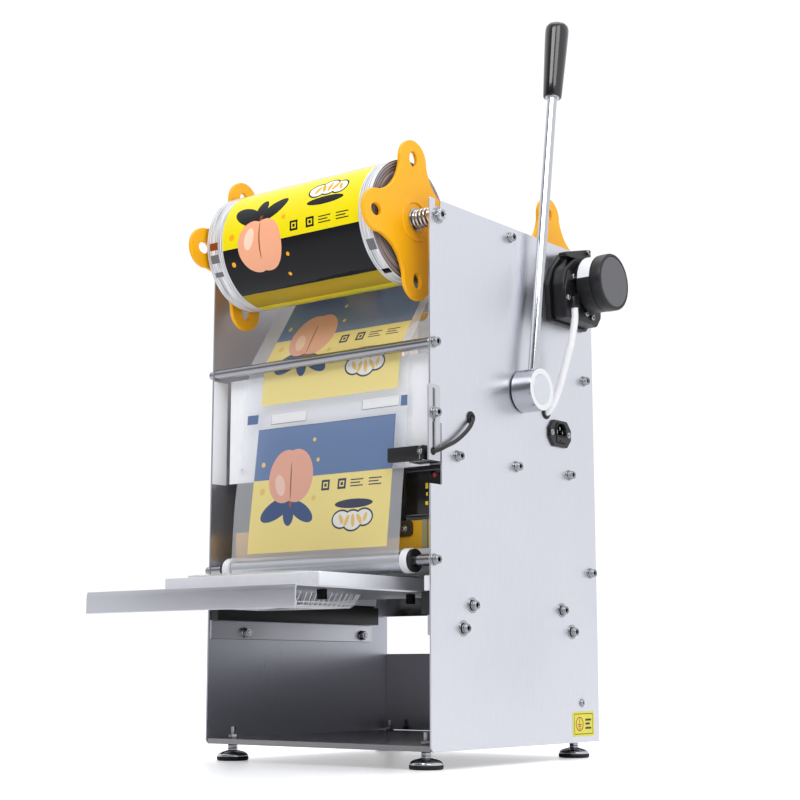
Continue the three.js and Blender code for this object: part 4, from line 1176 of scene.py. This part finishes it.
film_sheet("web_front", front_line, "frame", "film_web_front", film_hanging,
           FRONT_ROLLER[1] - wrap_length - 1, web_shift, web_ripple)
REAR_BACK = (REAR_ROD[0] + REAR_ROD_RADIUS + 2 + CLEAR, REAR_ROD[1])
up_angle = math.degrees(tangent(REAR_BACK, TAKEUP, WASTE_RADIUS + CLEAR))
reach = (TAKEUP[0] + (WASTE_RADIUS + CLEAR) * math.cos(math.radians(up_angle)),
         TAKEUP[1] + (WASTE_RADIUS + CLEAR) * math.sin(math.radians(up_angle)))
rear_line = [*straight((FRONT_ROLLER[0] + 1, front_down[0][1]),
                       (REAR_ROLLER[0], REAR_ROLLER[1] - ROLLER_WRAP), 40),
             *arc_line(REAR_ROLLER, ROLLER_WRAP, 272, 358, 10), *straight(
                 (REAR_ROLLER[0] + ROLLER_WRAP, REAR_ROLLER[1] + 2), REAR_BACK, 30)[1:],
             *straight(REAR_BACK, reach, 16)[1:]]
UNMARKED_V = -400                # far below WEB_START, so this run has no square marks
film_sheet("web_rear", rear_line, "frame", "film_web_rear", waste_hanging, UNMARKED_V, lambda v: 0,
           lambda u, v: 0)


def film_roll(name, node, body, centre, radius, v_at, start_angle, material):
    """A wound roll: printed face with its own v, layered ends and a bore for its core."""
    steps, place = 96, on_x(*centre)
    columns = [-FILM_HALF + 2 * FILM_HALF * k / 16 for k in range(17)]
    outer = [(x, radius - 0.2 + 0.15 * math.sin(x * 0.11)) for x in columns]
    roll = Piece().turned(outer, place, material, steps)
    roll.turned([outer[0], (-FILM_HALF, ROLL_BORE), (FILM_HALF, ROLL_BORE), outer[-1]], place, roll_end,
                steps)
    thing = roll.done(name, body, [node], sharp=50)
    inverse = TO_ROW.inverted()
    spots = [inverse @ vertex.co for vertex in thing.data.vertices]
    angles = [math.atan2(p.z - centre[1], p.y - centre[0]) for p in spots]
    layer = thing.data.attributes.new("film", "FLOAT_VECTOR", "CORNER")
    values = [0.0] * (3 * len(thing.data.loops))
    for face in thing.data.polygons:
        middle = inverse @ face.center
        centre_angle = math.atan2(middle.z - centre[1], middle.y - centre[0])
        along = (centre_angle - start_angle) % (2 * math.pi)
        for loop in face.loop_indices:
            vertex = thing.data.loops[loop].vertex_index
            off = (angles[vertex] - centre_angle + math.pi) % (2 * math.pi) - math.pi
            values[3 * loop] = spots[vertex].x
            values[3 * loop + 1] = v_at + (along + off) * radius
    layer.data.foreach_set("vector", values)
    return thing


# The roll's front shows the edge between the two bands a little below its middle.
BAND_EDGE_ANGLE = math.radians(190.5)
V_AT_LEAVE = WEB_START + 3 * PERIOD + YELLOW_TOP - (BAND_EDGE_ANGLE - LEAVE_ANGLE) * ROLL_RADIUS
film_roll("roll_supply", "film_roll", "supply_spool", SUPPLY, ROLL_RADIUS, V_AT_LEAVE, LEAVE_ANGLE,
          film_on_roll)
film_roll("roll_waste", "waste_film_roll", "takeup_spool", TAKEUP, WASTE_RADIUS, 0, math.radians(up_angle),
          waste_on_roll)

# ---- spools ----
LUG = {"half": 24, "tip": 68, "root": 64, "valley": 32, "hole": 70, "hole_half": (9, 7)}


def flange_outline(turn):
    """Four lugs with round ends and a long hole each, joined by hollow curves."""
    points, holes = [], []
    half, root, valley = LUG["half"], LUG["root"], LUG["valley"]
    start, pull, end = Vector((root, half)), Vector((valley, valley)), Vector((half, root))
    for lug in range(4):
        angle = turn + lug * math.pi / 2
        spin = Matrix.Rotation(angle, 2)
        local = [(root, -half)]
        local += circle(half, (LUG["tip"], 0), 18, -math.pi / 2, math.pi / 2)
        local.append((root, half))
        local += [tuple(start * (1 - t) ** 2 + pull * 2 * t * (1 - t) + end * t * t) for t in
                  [k / 12 for k in range(1, 12)]]
        points += [tuple(spin @ Vector(p)) for p in local]
        across, along = LUG["hole_half"]
        holes.append([tuple(spin @ Vector((LUG["hole"] + across * x, along * y)))
                      for x, y in circle(1, steps=28)])
    return points, [*holes, circle(5.3, steps=28)]


for spool, centre, turn, node in (("supply", SUPPLY, 0.05, "supply_flange"),
                                  ("takeup", TAKEUP, 0.08, "takeup_flange")):
    points, holes = flange_outline(turn)
    for name, side in SIDES:
        place = outward(side, *centre)
        disc = Piece().flat(points, 128, 133, place, yellow_plastic, holes, edge=0.8, steps=3)
        disc.turned([(132.9, 19), (134.3, 19.6), (134.3, 24.2), (132.9, 24.8)], place, yellow_plastic, 64)
        disc.turned([(132.9, 6), (134.6, 6), (134.6, 10.4), (132.9, 11)], place, yellow_plastic, 48)
        disc.turned([(127.9, 15.8), (121, 15.4), (121, 12), (127.9, 12)], place, yellow_plastic, 48)
        disc.done(f"flange_{spool}_{name}", f"{spool}_spool", [f"{node}_{name}"])
for spool, centre in (("supply", SUPPLY), ("takeup", TAKEUP)):
    core = Piece().turned([(-127, 16.2), (-127, 19.9), (127, 19.9), (127, 16.2), (-127, 16.2)],
                          on_x(*centre), white_nylon, 48)
    core.done(f"{spool}_core", f"{spool}_spool")
AXLE_RADIUS = 4.7
axle = Piece().rod(AXLE_RADIUS, -OUTER - 0.6, OUTER + 0.6, on_x(*SUPPLY), zinc, 0.4, 32)
for side in (-1, 1):
    place = outward(side, *SUPPLY)
    washer(axle, 9.4, 4.8, OUTER + 0.1, 1.2, zinc, place)
    axle.flat(ridged(6.5, 30, 0.25), OUTER + 1.3, OUTER + 6.4, place, chrome, [hexagon(6)], edge=0.2)
    axle.turned([(OUTER + 6.3, 4.4), (OUTER + 6.3, 6.4), (OUTER + 6.9, 6.1), (OUTER + 7.2, 5.5),
                 (OUTER + 7.2, 4.4), (OUTER + 6.3, 4.4)], place, chrome, 40)
    # a dark disc at the bottom of the nut's hex socket: painted shade
    axle.turned([(OUTER + 1.4, 0), (OUTER + 1.4, 6), (OUTER + 3, 6), (OUTER + 3, 0)], place, recess_shade_steel, 24)
axle.done("axle_supply", "supply_spool", ["supply_axle"])
spring = Piece().coil(9.5, 1.6, 135, 159.5, 5.6, on_x(*SUPPLY), chrome, 12)
washer(spring, 13, 5, 133.6, 1.2, zinc, on_x(*SUPPLY))
washer(spring, 11, 5, 160, 1.6, zinc, on_x(*SUPPLY))
spring.done("spring_axle", "supply_spool", ["axle_spring"])
Piece().rod(AXLE_RADIUS, -OUTER - 5, OUTER - 1, on_x(*TAKEUP), zinc, 0.4, 32) \
    .done("axle_takeup", "takeup_spool", ["takeup_axle"])

# ---- rollers ----
ROLLER_BORE = 6.6
Piece().rod(6.2, -SPAN, SPAN, on_x(*FRONT_ROLLER), steel, 0.6) \
    .done("roller_front_shaft", "frame", ["front_roller_shaft"])
tube = Piece().turned([(-126, ROLLER_BORE), (-126, 9.2), (-125.6, ROLLER_RADIUS), (125.6, ROLLER_RADIUS),
                       (126, 9.2), (126, ROLLER_BORE), (-126, ROLLER_BORE)], on_x(*FRONT_ROLLER),
                      roller_metal, 56)
for side in (-1, 1):
    place = outward(side, *FRONT_ROLLER)
    tube.turned([(126.6, ROLLER_BORE), (126.6, 12.9), (127.2, 13.5), (135.4, 13.5), (136, 12.9),
                 (136, ROLLER_BORE), (126.6, ROLLER_BORE)], place, white_nylon, 48)
    tube.turned([(136.2, ROLLER_BORE), (136.2, 12.6), (139.6, 12.6), (140, 12.2), (140, ROLLER_BORE),
                 (136.2, ROLLER_BORE)], place, black_plastic, 48)
tube.done("roller_front_tube", "front_roller", ["front_roller"])
Piece().rod(ROLLER_RADIUS, -SPAN, SPAN, on_x(*REAR_ROLLER), roller_metal, 0.6, 56) \
    .done("roller_rear_tube", "rear_roller", ["rear_roller"])

# ---- film eye and its bracket ----
LEG = (SEAT, OUTER + 2.1)
bracket = Piece().flat(rounded([(-6, 305, 1.5), (15.2, 305, 1.5), (15.2, 390, 4), (-6, 390, 4)]), *LEG,
                       on_x(), stainless_flat,
                       [rounded([(1, 318), *circle(4.3, (2.1, EYE_Z), 16, math.radians(160),
                                                   math.radians(380)),
                                 (6.2, 319.5), (6.2, 386, 2.5), (1, 386, 2.5)])], edge=0.3)
bracket.block(140, LEG[1], -6, 15.2, 305, 306.8, stainless_shaded, 0.3)
bracket.turned([(LEG[0] - 0.2, 2.7), (LEG[0] - 0.2, 4.2), (LEG[1] + 0.6, 4.2), (LEG[1] + 0.8, 3.6),
                (LEG[1] + 0.6, 2.7), (LEG[0] - 0.2, 2.7)], on_x(2.1, EYE_Z), rubber, 24)
bracket.done("bracket_eye", "frame", ["eye_bracket"])
fasten("bracket_screw", M6, [(LEG[1], 4, 358.7)], "+x")
eye = Piece().block(110.5, 152.6, -7, 1.6, 307.6, 323, black_plastic, 0.8, 1)
eye.block(152.4, 157.2, -6.2, 1.4, 308.6, 321.6, black_plastic, 0.5)
eye.block(157, 159.8, -6.8, 1.6, 307.6, 323, black_plastic, 0.5)
eye.block(154, 155.6, -7, -6, 307.8, 322.6, zinc, 0.2)
eye.rod(4.2, 158.5, 160.2, on_x(-0.9, EYE_Z), rubber, 0.4, 32)
eye.done("eye_sensor", "frame", ["photo_eye"])
fasten("eye_screw", PAN_BARE, [(154.8, -6.9, EYE_Z)], "-y")

# ---- film controller behind the notch ----
box = Piece().block(110, INNER - 0.6, 26, 29.6, 250, 304, black_plastic, 0.8)
box.block(113, 159, 25.5, 26.2, 253, 301, black_gloss, 0.2)
box.turned([(24.8, 0), (24.8, 2.2), (25.4, 2.6), (25.6, 2.6), (25.6, 0)], on_y(151, 294), dull_red, 24)
for x0, x1, z0, z1, material in ((138.5, 142, 280, 286, label_yellow),
                                 (139.5, 141.5, 272, 276, label_yellow), (138.5, 142, 262, 266, label_yellow),
                                 (112, 160, 251, 252.4, grey_plastic),
                                 (112, 160, 299.4, 300.6, grey_plastic)):
    box.block(x0, x1, 25.2, 25.7, z0, z1, material, 0)
box.done("eye_amplifier", "frame", ["film_controller"])

# ---- mains inlet with its fuse drawer ----
SOCKET_HOLE = rounded([(248.5, 362.6, 1), (268.5, 362.6, 1), (268.5, 371.6, 1), (264, 377, 1),
                       (253, 377, 1), (248.5, 371.6, 1)])
inlet = Piece()
inlet.flat(rounded([(244, 349, 3), (273, 349, 3), (282, 359, 3), (282, 371, 3), (273, 381, 3),
                    (244, 381, 3), (235, 371, 3), (235, 359, 3)]), SEAT, OUTER + 3.2, on_x(), black_plastic,
           [SOCKET_HOLE, box_outline(248.6, 268.4, 353.6, 361.4, 0.6)], edge=0.7)
inlet.flat(rounded([(247, 361.8, 1.5), (270, 361.8, 1.5), (270, 372.4, 2), (265, 378.6, 2), (252, 378.6, 2),
                    (247, 372.4, 2)]), OUTER + 3, OUTER + 4.6, on_x(), black_plastic,
           [SOCKET_HOLE], edge=0.4)
inlet.block(OUTER - 13, OUTER - 12, 246, 271, 352, 379, black_plastic, 0)
inlet.flat(box_outline(245, 272, 351.5, 378.5, 1), OUTER - 12.5, OUTER + 0.4, on_x(), black_plastic,
           [box_outline(248.5, 268.5, 353, 377.4, 1)], edge=0.1)
for y, z in ((252.6, 367), (258.5, 371.4), (264.4, 367)):
    inlet.block(OUTER - 12, OUTER + 2, y - 0.9, y + 0.9, z - 2.2, z + 2.2, zinc, 0.3)
inlet.done("mains_inlet", "frame", ["power_inlet"])
fasten("inlet_screw", PAN_BARE, [(OUTER + 3.0, y, 365) for y in (240.2, 276.8)], "+x")
drawer_front = Piece().block(OUTER - 12, OUTER + 3.8, 249, 268, 354, 361, black_plastic, 0.5)
drawer_front.block(OUTER + 3.6, OUTER + 4.6, 255.5, 261.5, 355.4, 357, black_plastic, 0.3)
drawer_front.done("fuse_tray", "fuse_drawer", ["fuse_drawer"])

# ---- temperature controller and switch on the left plate ----
face = Piece().flat(box_outline(223.5, 273.5, 339.5, 389.5, 3), -OUTER - 4.3, -SEAT, on_x(),
                    black_plastic, edge=0.9, steps=3)
face.block(0.3 - OUTER, -100.5, 226.4, 270.6, 342.4, 386.6, grey_plastic, 0.8)
DIAL = (248.5, 364.5)
for mark in range(11):
    angle = math.radians(225 - mark * 27)
    ray = Vector((math.cos(angle), math.sin(angle)))
    across = Vector((-ray.y, ray.x)) * (0.45 if mark % 5 else 0.7)
    near, far = Vector(DIAL) + ray * 19.4, Vector(DIAL) + ray * (22 if mark % 5 else 23)
    face.flat([tuple(near - across), tuple(near + across), tuple(far + across), tuple(far - across)],
              -OUTER - 4.45, -OUTER - 4.2, on_x(), label_white, edge=0)
face.turned([(-OUTER - 4.9, 0), (-OUTER - 4.9, 1.3), (-OUTER - 4.2, 1.5), (-OUTER - 4.2, 0)],
            on_x(269, 384), dull_red, 24)
face.done("controller_case", "frame", ["temperature_controller"])
KNOB_BACK = -OUTER - 4.9
knob = Piece().turned([(KNOB_BACK, 0), (KNOB_BACK, 18.4), (KNOB_BACK - 0.8, 18.5), (KNOB_BACK - 3, 17.2),
                       (KNOB_BACK - 3.2, 12.5), (KNOB_BACK - 3.2, 0)],
                      on_x(*DIAL), grey_plastic, 64)
knob.flat([(DIAL[0] + x, DIAL[1] + y) for x, y in ridged(12.6, 22, 0.9)], KNOB_BACK - 13.4, KNOB_BACK - 3,
          on_x(), grey_plastic, edge=0.7, steps=2)
knob.flat(circle(10, DIAL, 40), KNOB_BACK - 13.9, KNOB_BACK - 13.2, on_x(), black_gloss, edge=0.3)
knob.flat(box_outline(DIAL[0] - 0.6, DIAL[0] + 0.6, DIAL[1] + 4, DIAL[1] + 9.6), KNOB_BACK - 14.05,
          KNOB_BACK - 13.8, on_x(), label_white, edge=0)
knob.done("dial_knob", "temperature_knob", ["temperature_knob"])
switch = Piece().flat(box_outline(284, 299, 352.7, 374.3, 1.2), -OUTER - 2.1, -SEAT, on_x(),
                      black_plastic, [box_outline(286.2, 296.8, 355.5, 371.5, 0.5)], edge=0.4)
switch.flat(box_outline(285.3, 297.7, 354.3, 372.7), -OUTER - 0.4, -INNER + 22, on_x(), black_plastic,
            [box_outline(286.2, 296.8, 355.5, 371.5)], edge=0)
switch.block(-OUTER + 6, -INNER + 22, 285.6, 297.4, 354.6, 372.4, black_plastic, 0)
switch.done("switch_frame", "frame", ["power_switch"])
ROCKER_Z = 363.5
ROCKER_PLACE = Matrix(((0, -1, 0, 0), (0, 0, 1, 0), (1, 0, 0, 0), (0, 0, 0, 1)))
rocker = Piece().flat(rounded([(ROCKER_Z - 5.2, OUTER - 4.5), (ROCKER_Z - 7.4, OUTER + 4.2, 0.8),
                               (ROCKER_Z, OUTER + 2.4, 4), (ROCKER_Z + 7.4, OUTER + 1.2, 0.8),
                               (ROCKER_Z + 5.2, OUTER - 4.5)]), 286.6,
                      296.4, ROCKER_PLACE, red_plastic, edge=0.3)
rocker.done("switch_rocker", "power_rocker", ["power_rocker"])

# ---- take-up motor and gearbox ----
GEARBOX = rounded([(236, 500, 4), (318, 500, 4), (330, 512, 3), (330, 580, 4), (318, 590, 4), (266, 590, 5),
                   (242, 566, 5), (232, 545, 5)])
gear = Piece().flat(GEARBOX, OUTER + 0.4, 170, on_x(), black_plastic, edge=0.9, steps=3)
gear.flat(rounded([(241, 503, 5), (316, 503, 6), (326, 516, 8), (326, 574, 16), (308, 587, 12),
                   (268, 583, 14), (244, 565, 16), (238, 545, 12)]), 169.8, 187.6, on_x(), black_plastic,
          edge=2.2, steps=4)
gear.flat(rounded([(242, 580, 3), (304, 580, 3), (304, 600, 2.5), (246, 585.5, 2.5)]), 176, 187.6, on_x(),
          black_plastic, edge=1.2, steps=3)
gear.flat(rounded([(240, 503, 3), (306, 503, 3), (306, 520, 4), (270, 540, 4), (262, 562, 4), (246, 562, 3),
                   (238, 536, 3)]), 186, 190.4, on_x(), black_plastic, edge=0.8)
gear.block(186, 196.6, 247, 261, 516, 529, black_plastic, 1.0, 2)
gear.done("gearbox_case", "frame", ["takeup_gearbox"])
MOTOR = (290, 550)
motor = Piece().turned([(187.8, 0), (187.8, 29.3), (193.2, 29.3), (193.8, 33.6), (194.8, 34.5), (213, 34.5),
                        (213.4, 33.7), (214, 33.7), (214.4, 34.7), (216, 35), (225.6, 35), (227.2, 34.4),
                        (227.8, 33.2), (227.8, 31.6), (227, 31.2), (227, 0)], on_x(*MOTOR), black_plastic, 80)
motor.done("motor_can", "frame", ["takeup_motor"])
Piece().turned([(226.8, 0), (226.8, 30.8), (227.5, 30.8), (227.9, 30.2), (227.9, 0)], on_x(*MOTOR),
               grey_plastic, 80) \
    .done("motor_cap", "frame")
label = Piece()
sector = circle(34.75, MOTOR, 20, math.radians(98), math.radians(176))
label.flat([*sector, *circle(34.3, MOTOR, 20, math.radians(176), math.radians(98))], 196, 212.6, on_x(),
           label_white, edge=0)
label.done("motor_label", "frame")
fasten("gearbox_screw", M4, [(190.2, 254.4, 555), (190.2, 242.5, 527), (190.2, 266, 534), (190.2, 283, 514),
                             (190.2, 297, 511.5), (187.4, 294.8, 594)], "+x")

# ---- floor and the end ----
FLOOR_GLOW = 0.36


def make_floor():
    """A pale floor that stays white to its far edge when the camera looks at it."""
    bm = bmesh.new()
    bmesh.ops.create_grid(bm, x_segments=2, y_segments=2, size=200)
    data = bpy.data.meshes.new("floor")
    bm.to_mesh(data)
    bm.free()
    finish = surface("studio_floor", "white_paint", (246, 246, 248), 0.3, 0, 3, 0.004, 0.02, 0.0)
    nodes, links = finish.node_tree.nodes, finish.node_tree.links
    seen = nodes.new("ShaderNodeLightPath").outputs["Is Camera Ray"]
    glow, add = nodes.new("ShaderNodeEmission"), nodes.new("ShaderNodeAddShader")
    level = nodes.new("ShaderNodeMath")
    level.operation = "MULTIPLY"
    links.new(seen, level.inputs[0])
    level.inputs[1].default_value = FLOOR_GLOW
    links.new(level.outputs[0], glow.inputs["Strength"])
    links.new(nodes["Principled BSDF"].outputs[0], add.inputs[0])
    links.new(glow.outputs[0], add.inputs[1])
    links.new(add.outputs[0], nodes["Material Output"].inputs["Surface"])
    data.materials.append(finish)
    floor = bpy.data.objects.new("floor", data)
    bpy.context.scene.collection.objects.link(floor)


make_floor()
